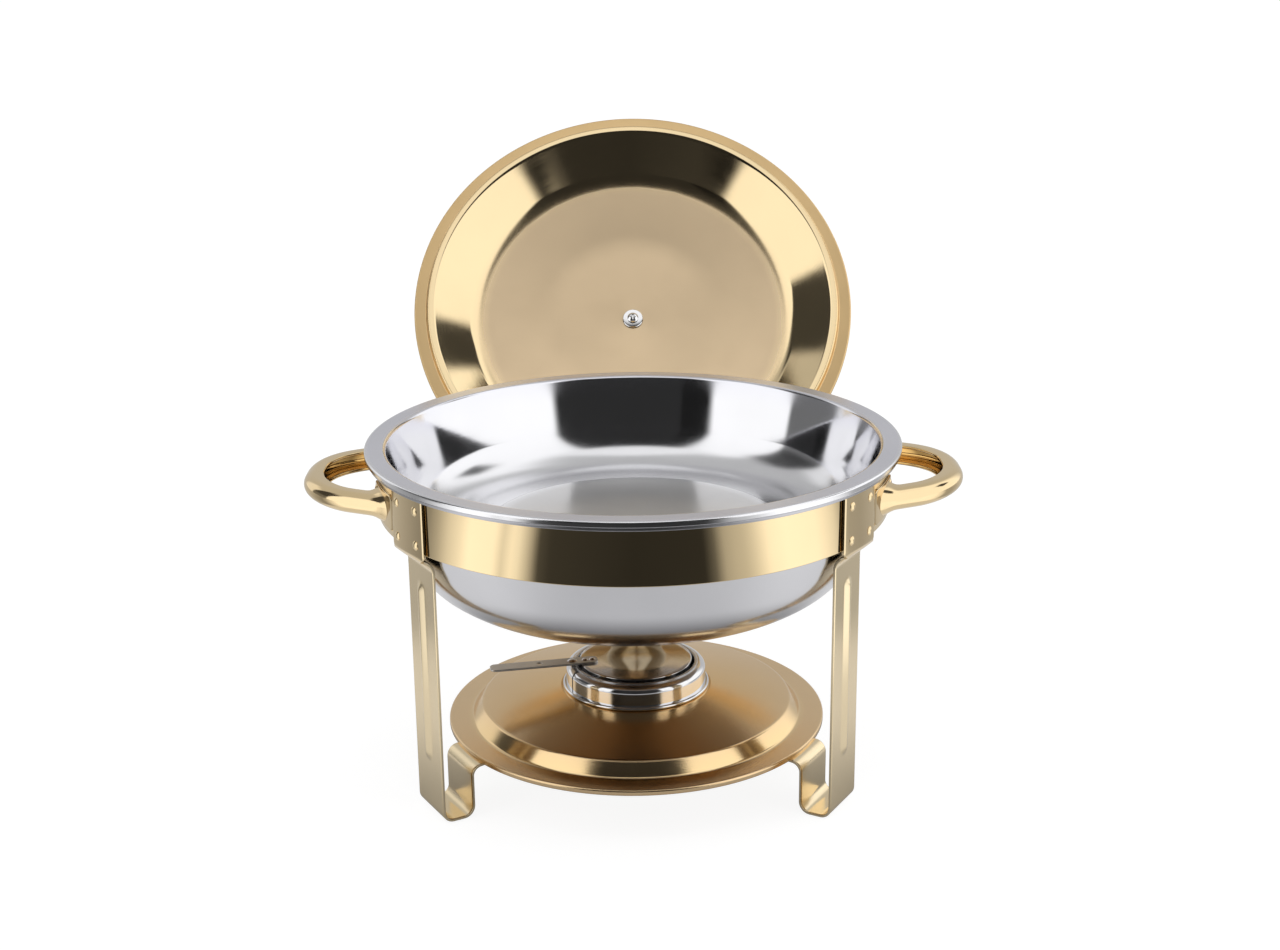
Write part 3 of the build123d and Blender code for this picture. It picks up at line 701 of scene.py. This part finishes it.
# ---------------------------------------------------------------- carry handles
def channel_section():
    """Closed section of the grip: (distance inwards from the outer face, height from middle)."""
    half = (HANDLE_Z1 - HANDLE_Z0) / 2
    depth = HANDLE_DEPTH
    nose = 7.2
    loop = arc_points(nose, 0, nose, 270, 90, 24, radius_y=half)        # outer face
    loop.append((depth - 1.6, half))
    loop += arc_points(depth - 0.9, half - 0.9, 0.9, 90, -30, 5)        # upper lip
    loop += arc_points(depth - 1.0, half - 1.2, 0.9, -40, -90, 3)
    loop.append((depth - 2.5, half - 2.1))
    loop += arc_points(5.6, half - 5.5, 3.4, 90, 180, 7)                # hollow
    loop += arc_points(5.6, 5.5 - half, 3.4, 180, 270, 7)
    loop.append((depth - 2.5, 2.1 - half))
    loop += arc_points(depth - 1.0, 1.2 - half, 0.9, 90, 40, 3)         # lower lip
    loop += arc_points(depth - 0.9, 0.9 - half, 0.9, 30, -90, 5)
    loop.append((depth - 1.6, -half))
    return loop


def grip_point(depth, part, share):
    """Point on the grip's path, moved inwards by depth.

    Parts 0 to 4 are the arm and arc on the -Y side, the straight front, the arc and the arm.
    """
    if part > 2:
        x, y = grip_point(depth, 4 - part, 1 - share)
        return x, -y
    slant = atan2(HANDLE_ROOT_Y - HANDLE_HALF, HANDLE_X - HANDLE_ROOT_X)
    arc_x = HANDLE_X - HANDLE_ROUND
    arc_y = -HANDLE_HALF + HANDLE_ROUND * tan((pi / 2 - slant) / 2)
    arc_start = slant - pi / 2
    radius = HANDLE_ROUND - depth
    if part == 1:
        angle = arc_start - arc_start * share
        return arc_x + radius * cos(angle), arc_y + radius * sin(angle)
    if part == 2:
        return HANDLE_X - depth, arc_y - 2 * arc_y * share
    # The arm runs from just outside the lug's inner face to the arc
    root_r = LUG_R0 + 0.3
    x, y = arc_x + radius * cos(arc_start), arc_y + radius * sin(arc_start)
    along = x * cos(slant) + y * sin(slant)
    length = along - sqrt(max(0.0, along * along - (x * x + y * y - root_r * root_r)))
    return x - length * cos(slant) * (1 - share), y - length * sin(slant) * (1 - share)


def add_grip(bm, side):
    mid_z = (HANDLE_Z0 + HANDLE_Z1) / 2
    mid_depth = HANDLE_DEPTH / 2
    flare_r = (149.6, 158.5)
    flare_height, flare_depth = 0.40, 0.30
    lift, lift_x = 0.9, (160, 188)
    section = channel_section()
    stations = [(part, t / steps) for part, steps in enumerate((12, 22, 4, 22, 12))
                for t in range(steps)] + [(4, 1.0)]
    rings = []
    for station in stations:
        ring = []
        for depth, height in section:
            # The arms flare into the lug
            near = 1 - smoothstep(hypot(*grip_point(depth, *station)), *flare_r)
            flared = mid_depth + (depth - mid_depth) * (1 + flare_depth * near * near)
            x, y = grip_point(flared, *station)
            z = mid_z + height * (1 + flare_height * near * near) + lift * smoothstep(x, *lift_x)
            ring.append(bm.verts.new((side * x * MM, y * MM, z * MM)))
        rings.append(ring)
    for ring, after in zip(rings, rings[1:]):
        for j in range(len(section)):
            k = (j + 1) % len(section)
            bm.faces.new((ring[j], ring[k], after[k], after[j]))


def add_lug(bm, side, end):
    """Curved plate with rounded corners, on the +Y or -Y end of a handle."""
    columns, rows = 26, 30
    corner, edge_round = 5.5, 0.35
    half_w = radians((LUG_ANGLES[1] - LUG_ANGLES[0]) / 2) * LUG_R1
    half_h = (LUG_Z1 - LUG_Z0) / 2
    mid_angle = radians(end * (LUG_ANGLES[0] + LUG_ANGLES[1]) / 2)
    inner_grid, outer_grid = [], []
    for i in range(columns + 1):
        inner_row, outer_row = [], []
        for j in range(rows + 1):
            u, v = -1 + 2 * i / columns, -1 + 2 * j / rows
            across, up = u * half_w, v * half_h
            past_w, past_h = abs(across) - (half_w - corner), abs(up) - (half_h - corner)
            if past_w > 0 and past_h > 0:
                pull = max(past_w, past_h) / hypot(past_w, past_h)
                across = math.copysign(half_w - corner + past_w * pull, across)
                up = math.copysign(half_h - corner + past_h * pull, up)
            soft = edge_round * smoothstep(max(abs(u), abs(v)), 0.93, 1.0)
            angle = mid_angle + across / LUG_R1
            if side < 0:
                angle = pi - angle
            for row, r in ((inner_row, LUG_R0 + 0.02), (outer_row, LUG_R1 - soft)):
                row.append(bm.verts.new((r * cos(angle) * MM, r * sin(angle) * MM,
                                         ((LUG_Z0 + LUG_Z1) / 2 + up) * MM)))
        inner_grid.append(inner_row)
        outer_grid.append(outer_row)
    join_grids(bm, inner_grid, outer_grid)


for node, side in (("handle_right", 1), ("handle_left", -1)):
    bm = bmesh.new()
    add_grip(bm, side)
    for end in (-1, 1):
        add_lug(bm, side, end)
    piece(node, bm, handle_gold, sharp=42)


# ---------------------------------------------------------------- base plate, fuel holder
lathe_piece("base_plate", sheet(
    [(PLATE_R, TAB_Z + 0.02), (PLATE_R, PLATE_Z), (PLATE_FLAT_R, PLATE_Z),
     (PLATE_RIDGE_R, PLATE_RIDGE_Z), (PLATE_COLLAR_R, PLATE_COLLAR_Z),
     (PLATE_LIP_R, PLATE_COLLAR_Z)], [1.3, 3.0, 3.0, 2.0], -PLATE_T, steps=12), plate_gold, 320)


def make_sleeve():
    """Sleeve round the cup, with a bead round it and a slit in its wall above the bead."""
    slit_r, slit_z = 38.5, 54.2         # the slit is outside this radius and above this height
    bead_half_h = 1.1
    seam = radians(SEAM_ANGLE)
    half_slit = SEAM_HALF_W / SLEEVE_R
    angles = sorted([t for t in full_turn(240) if abs(t - seam) > half_slit + 0.004]
                    + [seam - half_slit, seam + half_slit])

    def in_slit(angle, next_angle, point, next_point):
        return (abs((angle + next_angle) / 2 - seam) < half_slit * 0.5
                and min(point[0], next_point[0]) > slit_r
                and (point[1] + next_point[1]) / 2 > slit_z)

    bm = bmesh.new()
    wall = sheet([(SLEEVE_R, SLEEVE_Z0), (SLEEVE_R, SLEEVE_Z1), (SLEEVE_MOUTH_R, SLEEVE_Z1),
                  (SLEEVE_MOUTH_R, SLEEVE_Z1 - 2.5)], [4.2, 1.0], -SLEEVE_T, steps=12)
    add_lathe(bm, wall, angles, skip=in_slit)
    bead = [(SLEEVE_R - 0.3, BEAD_Z - bead_half_h),
            *arc_points(BEAD_R - 1.15, BEAD_Z, 1.15, -90, 90, 12, radius_y=1.12),
            (SLEEVE_R - 0.3, BEAD_Z + bead_half_h)]
    add_lathe(bm, bead, full_turn(240))
    piece("fuel_sleeve", bm, sleeve_steel, sharp=38)


make_sleeve()
lathe_piece("fuel_cup", sheet(
    [(CUP_RIM_R, CUP_TOP_Z), (CUP_R, CUP_TOP_Z), (CUP_R, CUP_FLOOR_Z), (0.0, CUP_FLOOR_Z)],
    [0.8, 3.0], -CUP_T, steps=10), cup_steel, 180)


# ---------------------------------------------------------------- snuffer
def make_cover():
    """Thin disc, slightly dished in the middle, with a rounded rim."""
    def dish(z, depth):
        radii = [COVER_DISH_R * k / 14 for k in range(15)]
        return [(r, z - depth * (1 - smoothstep(r, 2, COVER_DISH_R))) for r in radii]

    # Radius and height, outwards on top and back underneath
    rim = [(22.5, COVER_Z1), (27.0, COVER_Z1), (31.5, COVER_Z1), (33.1, COVER_Z1),
           (COVER_R - 0.4, COVER_Z1 - 0.1), (COVER_R - 0.1, COVER_Z1 - 0.35),
           (COVER_R - 0.05, COVER_Z1 - 0.6), (COVER_R - 0.4, COVER_Z0 + 0.02), (32.5, COVER_Z0)]
    loop = dish(COVER_Z1, 0.62) + rim + dish(COVER_Z0, 0.45)[::-1]
    lathe_piece("snuffer_cover", loop, cover_steel, 180)


def make_strip():
    """Flat strip with rounded corners and a hole; local x runs outwards along it."""
    bevel = 0.22
    inner_round, outer_round, hole_r = 2.4, 3.2, 1.6
    x0, x1, half = STRIP_R0 + bevel, STRIP_R1 - bevel, STRIP_W / 2 - bevel
    outline = []
    for end_x, end, side, radius, start in (
            (x1, 1, 1, outer_round, 0), (x0, -1, 1, inner_round, 90),
            (x0, -1, -1, inner_round, 180), (x1, 1, -1, outer_round, 270)):
        outline += arc_points(end_x - end * radius, side * (half - radius), radius,
                              start, start + 90, 8)
    hole = arc_points(STRIP_HOLE_R, 0, hole_r + bevel, 0, 360, 24)[:-1]

    curve = bpy.data.curves.new("strip_curve", "CURVE")
    curve.dimensions = "2D"
    curve.fill_mode = "BOTH"
    for points in (outline, hole):
        spline = curve.splines.new("POLY")
        spline.points.add(len(points) - 1)
        for target, (x, y) in zip(spline.points, points):
            target.co = (x * MM, y * MM, 0, 1)
        spline.use_cyclic_u = True
    curve.extrude = (STRIP_T / 2 - bevel) * MM
    curve.bevel_depth = bevel * MM
    curve.bevel_resolution = 2
    source = bpy.data.objects.new("strip_tmp", curve)
    bpy.context.scene.collection.objects.link(source)
    depsgraph = bpy.context.evaluated_depsgraph_get()
    mesh = bpy.data.meshes.new_from_object(source.evaluated_get(depsgraph))
    bpy.data.objects.remove(source)

    obj = bpy.data.objects.new("snuffer_handle_visual", mesh)
    bpy.context.scene.collection.objects.link(obj)
    mesh.materials.clear()
    mesh.materials.append(strip_steel_shaded)
    mesh.shade_smooth()
    mesh.set_sharp_from_angle(angle=radians(35))
    obj.matrix_world = Matrix(((swing_x, -swing_y, 0, 0), (swing_y, swing_x, 0, 0),
                               (0, 0, 1, (COVER_Z1 + STRIP_T / 2) * MM), (0, 0, 0, 1)))
    bpy.context.view_layer.update()
    register(obj, "snuffer_handle")


def make_snuffer_rivets():
    """Two small rivets that hold the strip to the cover."""
    tail, top = COVER_Z0 - 0.6, COVER_Z1 + STRIP_T
    head_r = 1.9
    loop = [(0.0, tail), (1.5, tail), (1.7, tail + 0.2), (1.7, COVER_Z0), (1.05, COVER_Z0),
            (1.05, top), (head_r, top)] + dome(top, head_r, 0.8)[1:]
    bm = bmesh.new()
    for r in (26.8, 31.2):
        add_lathe(bm, loop, full_turn(24), centre=(r * swing_x, r * swing_y))
    piece("snuffer_rivets", bm, bright_steel, sharp=35)


def make_pivot_pin():
    """Pin through sleeve and strip, with a collar between the sleeve and the strip."""
    gap = 0.06
    bottom, top = SLEEVE_Z1 - 2.2, COVER_Z1 + STRIP_T + gap
    pin_r, foot_r, collar_r, head_r = 1.1, 1.45, 1.6, 2.9
    loop = [(0.0, bottom), (1.3, bottom), (foot_r, bottom + 0.15), (foot_r, bottom + 0.7),
            (pin_r, bottom + 0.7), (pin_r, SLEEVE_Z1 + gap), (collar_r, SLEEVE_Z1 + gap),
            (collar_r, COVER_Z1 - gap), (pin_r, COVER_Z1 - gap), (pin_r, top), (head_r, top)]
    bm = bmesh.new()
    add_lathe(bm, loop + dome(top, head_r, 0.9)[1:], full_turn(28),
              centre=(PIVOT_R * swing_x, PIVOT_R * swing_y))
    piece("snuffer_pivot_pin", bm, bright_steel, sharp=35)


swing_x, swing_y = cos(radians(SWING_ANGLE)), sin(radians(SWING_ANGLE))
make_cover()
make_strip()
make_snuffer_rivets()
make_pivot_pin()

# ---------------------------------------------------------------- pans
lathe_piece("water_pan", sheet(
    [(WATER_FLANGE_R, WATER_SKIRT_Z), (WATER_FLANGE_R, WATER_FLANGE_Z),
     (WATER_WALL_R, WATER_FLANGE_Z), (WATER_BELLY_R, WATER_BELLY_Z),
     (WATER_FLOOR_R, WATER_FLOOR_Z), (0.0, WATER_FLOOR_Z)],
    [0.6, 1.2, 40.0, 60.0], WATER_T, steps=16), water_steel_painted_shade, 360)
lathe_piece("food_pan", sheet(
    [(RIM_R, RIM_SKIRT_Z), (RIM_R, RIM_Z), (MOUTH_R, RIM_Z), (FOOD_FOOT_R, FOOD_FLOOR_Z),
     (FOOD_STEP_R + 4.0, FOOD_FLOOR_Z), (FOOD_STEP_R, FOOD_FLOOR_Z + FOOD_STEP_H),
     (0.0, FOOD_FLOOR_Z + FOOD_STEP_H)],
    [1.5, 2.5, FOOD_FOOT_ROUND, 2.5, 2.5], -FOOD_T, steps=16), food_steel, 384)

# ---------------------------------------------------------------- lid
# Local x is world x, local y runs up in the plane of the lid, local z away from the knob side
lean_cos, lean_sin = cos(radians(LID_LEAN)), sin(radians(LID_LEAN))
lid_matrix = Matrix(((1, 0, 0, 0), (0, lean_sin, -lean_cos, 0), (0, lean_cos, lean_sin, 0),
                     (0, 0, 0, 1)))
lid_matrix.translation = Vector(LID_CENTRE) * MM


def lid_piece(node, loop, material, segments):
    """Lathe from (radius, distance towards the knob side) points."""
    lathe_piece(node, [(r, -w) for r, w in loop], material, segments, matrix=lid_matrix)


lid_piece("lid_shell", sheet(
    [(LID_R, 3.0), (LID_R, 0.0), (144.4, 0.0), (143.6, -4.2), (138.8, -4.2), (111.0, 18.6),
     (60.0, 22.6), (2.3, LID_DISH)],
    [1.2, 1.0, 1.6, 3.5, 18.0, 250.0], LID_T, steps=14), lid_gold, 384)

# Escutcheon under the knob: radius, distance from the shell
shell_face = LID_DISH + LID_T + 0.05
ESCUTCHEON_H = 3.2
ESCUTCHEON = [(2.4, 0.0), (16.6, -0.02), (17.0, 0.4), (16.8, 1.1), (15.0, 1.9), (12.0, 2.5),
              (9.0, 2.9), (6.6, 3.15), (2.4, ESCUTCHEON_H)]
lid_piece("lid_escutcheon", [(r, shell_face + w) for r, w in ESCUTCHEON], knob_gold, 96)

# Knob: a ball on a waisted neck; radius, distance from the escutcheon
BALL_R = 12.6
BALL_W = 17.0
BORE_END = 14.0
NECK_TOP = (6.5, 6.206)
NECK = [(2.1, BORE_END), (2.1, 0.0), (6.2, 0.0), (6.4, 0.3), (6.4, 1.5), (5.7, 2.4), (5.35, 3.6),
        (5.6, 4.9), NECK_TOP]
ball = arc_points(0, BALL_W, BALL_R, degrees(atan2(NECK_TOP[1] - BALL_W, NECK_TOP[0])), 90, 32)[1:]
lid_piece("lid_knob", [(r, shell_face + ESCUTCHEON_H + w)
                       for r, w in NECK + ball + [(0.0, BORE_END)]], knob_gold, 96)

# Washer on the hollow side: radius, distance from its seat
WASHER = [(2.2, -1.1), (6.3, -1.1), (6.8, -1.0), (7.2, -0.6), (7.2, -0.05), (2.2, -0.05)]
lid_piece("lid_washer", [(r, LID_DISH - 0.35 + w) for r, w in WASHER], bright_steel, 72)


# ---------------------------------------------------------------- cradle
def make_cradle():
    """Two bent arms behind the lid and a bar across them.

    Local x runs up in the plane of the lid, local y towards the knob side, local z is -X.
    """
    matrix = Matrix(((0, 0, -1, 0), (lean_sin, lean_cos, 0, 0), (lean_cos, -lean_sin, 0, 0),
                     (0, 0, 0, 1)))
    arm = sheet([(12.0, ARM_D + 1.5), (0.0, ARM_D), (ARM_FOOT, ARM_D), (ARM_FOOT, -1.2),
                 (-138.0, -1.2)], [12.0, 4.0, 1.6], ARM_T, steps=10, ends=False)
    bar_x0, bar_x1 = -130.5, -117.5
    bar_y0, bar_y1 = ARM_D + ARM_T - 0.1, ARM_D + ARM_T + 2.2
    bar = [(bar_x0, bar_y0), (bar_x1, bar_y0), (bar_x1, bar_y1), (bar_x0, bar_y1)]
    bm = bmesh.new()
    for x, loop, width, bevel in ((-ARM_X, arm, ARM_W, 0.45), (ARM_X, arm, ARM_W, 0.45),
                                  (0, bar, 2 * ARM_X + ARM_W, 0.5)):
        matrix.translation = Vector((x, LID_CENTRE[1], LID_CENTRE[2])) * MM
        add_part(bm, extrusion(loop, width, bevel), matrix)
    piece("lid_cradle", bm, cradle_gold, sharp=40)


make_cradle()


# ---------------------------------------------------------------- CAD nodes
def set_finish(node, material):
    mesh = frame["nodes"][node].data
    mesh.materials.clear()
    mesh.materials.append(material)
    return mesh


# Shown as they are, with smooth shading
for node, material in (("cradle_bracket", cradle_gold), ("lid_screw", bright_steel)):
    mesh = set_finish(node, material)
    mesh.shade_smooth()
    mesh.set_sharp_from_angle(angle=radians(32))
# Replaced nodes get the finish of their detailed piece
for node, material in finishes.items():
    set_finish(node, material)

# ---------------------------------------------------------------- floor
FLOOR_HALF = 14.0
FLOOR_Z = -0.0004
FLOOR_EMIT = 0.90       # floor as the camera sees it: glow and grey of its diffuse part
FLOOR_DIFF = 0.20
TABLE_IN = 0.36         # table as the metal reflects it: glow at the front and at the sides
TABLE_OUT = 0.52
TABLE_EDGE = (0.33, 0.38)
# Reflected floor beyond the table: azimuth from the front (right positive), glow
FAR_GLOW = [
    (-180, 0.60), (-120, 0.55), (-92, 0.27), (-85, 0.49), (-79, 0.79), (-73, 1.0), (-68, 1.25),
    (-56, 1.2), (-52, 0.84), (-48, 1.1), (-45, 0.98), (-41, 0.58), (-37, 0.08), (-32, 0.045),
    (0, 0.028), (27, 0.032), (31, 0.14), (35, 0.46), (39, 0.56), (43, 0.62), (47, 0.78),
    (50, 0.96), (54, 1.2), (62, 1.3), (77, 1.25), (83, 1.08), (88, 0.9), (94, 0.43), (104, 0.40),
    (125, 0.58)]


def floor_material():
    """Near white to the camera; to the metal, a table with a dark room in front of it."""
    material = bpy.data.materials.new("floor_white")
    material.use_nodes = True
    graph = Graph(material.node_tree)

    def glowing(glow, colour):
        diffuse = graph.out("BsdfDiffuse", {"Color": (*colour, 1)})
        return graph.out("AddShader", {0: glow, 1: diffuse})

    glow = graph.out("Emission", {"Strength": FLOOR_EMIT})
    diffuse = graph.out("BsdfDiffuse", {"Color": (FLOOR_DIFF, FLOOR_DIFF, FLOOR_DIFF, 1)})
    seen = graph.out("AddShader", {0: diffuse, 1: glow})

    position = graph.node("NewGeometry").outputs["Position"]
    x, y = graph.node("SeparateXYZ", {0: position}).outputs[:2]
    azimuth, signed = graph.azimuth(x, y)
    radius = graph.radius(x, y)
    sideways = graph.smooth(azimuth, (radians(20), radians(70)))
    table = graph.blend(sideways, TABLE_IN, TABLE_OUT)
    turn = graph.math("DIVIDE", graph.add(signed, pi), 2 * pi)
    far = graph.ramp(turn, [((angle + 180) / 360, (level,) * 3) for angle, level in FAR_GLOW])
    edge = graph.smooth(radius, TABLE_EDGE)
    # Painted shadow: the floor's glow, as the metal reflects it, is darkened close under the dish.
    painted_dish_shadow = graph.smooth(radius, (0.10, 0.24), (0.16, 1.0))
    strength = graph.mul(graph.blend(edge, table, far), painted_dish_shadow)
    far_glow = graph.out("Emission", {"Strength": strength})
    table_glow = glowing(far_glow, (0.30, 0.30, 0.31))
    reflected = graph.out("MixShader", {0: edge, 1: table_glow, 2: far_glow})
    graph.node("OutputMaterial", {0: graph.split_camera(reflected, seen)})
    return material


mesh = bpy.data.meshes.new("floor")
corners = [(x * FLOOR_HALF, y * FLOOR_HALF, FLOOR_Z)
           for x, y in ((-1, -1), (1, -1), (1, 1), (-1, 1))]
mesh.from_pydata(corners, [], [(0, 1, 2, 3)])
floor = bpy.data.objects.new("floor", mesh)
bpy.context.scene.collection.objects.link(floor)
mesh.materials.append(floor_material())

# ---------------------------------------------------------------- world
# Brightness of each part of the studio
BACKDROP = 0.70
SIDE_BOXES = 1.50
TOP_BOX = 1.28
BACK_LEFT = 1.15
GAP_LEFT = (0.22, 0.07)         # at its foot and higher up
GAP_RIGHT = 0.07
ROOM_LEFT = 0.016
ROOM = 0.035
SEEN_WHITE = 1.06               # backdrop as the camera sees it


def make_world():
    """White to the camera; softboxes, dark gaps and a dark front to the metal.

    Regions are bounded by soft edges, each a (start, end) pair of degrees.
    """
    world = bpy.data.worlds.new("studio")
    bpy.context.scene.world = world
    world.use_nodes = True
    graph = Graph(world.node_tree)
    mul = graph.mul
    direction = graph.node("TexCoord").outputs["Generated"]
    x, y, z = graph.node("SeparateXYZ", {0: direction}).outputs
    azimuth, signed = graph.azimuth(x, y)
    elevation = graph.math("ARCSINE", z)

    def rise(angle, start, end, levels=(0, 1)):
        return graph.smooth(angle, (radians(start), radians(end)), levels)

    def fall(angle, start, end):
        return rise(angle, start, end, (1, 0))

    def sector(left, right):
        return mul(rise(signed, *left), fall(signed, *right))

    # Big softboxes left and right of the camera
    boxes = mul(mul(rise(azimuth, 39, 43), fall(elevation, 56, 72)),
                sector((-92, -86), (128, 150)))
    level = graph.blend(boxes, BACKDROP, SIDE_BOXES)
    # Bright flat at the back left
    back_left = mul(sector((-146, -138), (-117, -113)), fall(elevation, 30, 40))
    level = graph.blend(back_left, level, BACK_LEFT)
    # Dark gap on the left, beside the softbox, and a small one on the right
    gap_left = mul(sector((-118, -113), (-86, -83)), fall(elevation, 44, 56))
    level = graph.blend(gap_left, level, rise(elevation, 8, 24, GAP_LEFT))
    gap_right = mul(mul(sector((99, 103), (118, 123)), rise(elevation, 29, 33)),
                    fall(elevation, 42, 48))
    level = graph.blend(gap_right, level, GAP_RIGHT)
    # Dark room behind the camera
    front = mul(fall(azimuth, 38, 42), fall(elevation, 56, 64))
    level = graph.blend(front, level, graph.blend(rise(signed, -26, -24), ROOM_LEFT, ROOM))
    # Overhead softbox
    top = mul(rise(elevation, 58, 64), fall(azimuth, 60, 80))
    level = graph.blend(top, level, TOP_BOX)

    reflected = graph.out("Background", {"Strength": level})
    seen = graph.out("Background", {"Color": (1, 1, 1, 1), "Strength": SEEN_WHITE})
    graph.node("OutputWorld", {0: graph.split_camera(reflected, seen)})


make_world()


# ---------------------------------------------------------------- lights
def area_light(name, location, target, size, power):
    """Square area light that the metal doesn't reflect."""
    light = bpy.data.lights.new(name, "AREA")
    light.shape = "RECTANGLE"
    light.size = light.size_y = size
    light.energy = power
    obj = bpy.data.objects.new(name, light)
    bpy.context.scene.collection.objects.link(obj)
    obj.location = location
    aim = Vector(target) - Vector(location)
    obj.rotation_euler = aim.to_track_quat("-Z", "Y").to_euler()
    obj.visible_glossy = False


area_light("key_left", (-1.35, -0.85, 1.15), target=(0, 0, 0.15), size=0.8, power=2.0)
area_light("top_soft", (0.0, -0.4, 1.9), target=(0, 0, 0.1), size=1.2, power=2.0)

# ---------------------------------------------------------------- camera
CAMERA_PLACE = Vector((3.8267, -1063.970, 513.108)) * MM
VIEW_RIGHT = Vector((0.99986586, -0.00485387, -0.01564319))     # before the roll
VIEW_UP = Vector((0.01637893, 0.29630877, 0.95495175))
VIEW_AHEAD = Vector((0.0, 0.95507987, -0.29634852))
ROLL = radians(0.30)


def make_camera():
    scene = bpy.context.scene
    right = (VIEW_RIGHT * cos(ROLL) + VIEW_UP * sin(ROLL)).normalized()
    up = (VIEW_UP * cos(ROLL) - VIEW_RIGHT * sin(ROLL)).normalized()
    camera = bpy.data.cameras.new("camera")
    camera.sensor_width = 36.0
    camera.lens = 53.280225
    camera.clip_start = 0.02
    camera.clip_end = 60.0
    obj = bpy.data.objects.new("camera", camera)
    scene.collection.objects.link(obj)
    rows = zip(right, up, -VIEW_AHEAD, CAMERA_PLACE)
    obj.matrix_world = Matrix((*rows, (0, 0, 0, 1)))
    scene.camera = obj
    scene.view_settings.view_transform = "Standard"
    scene.view_settings.look = "None"
    scene.view_settings.exposure = 0.0


make_camera()
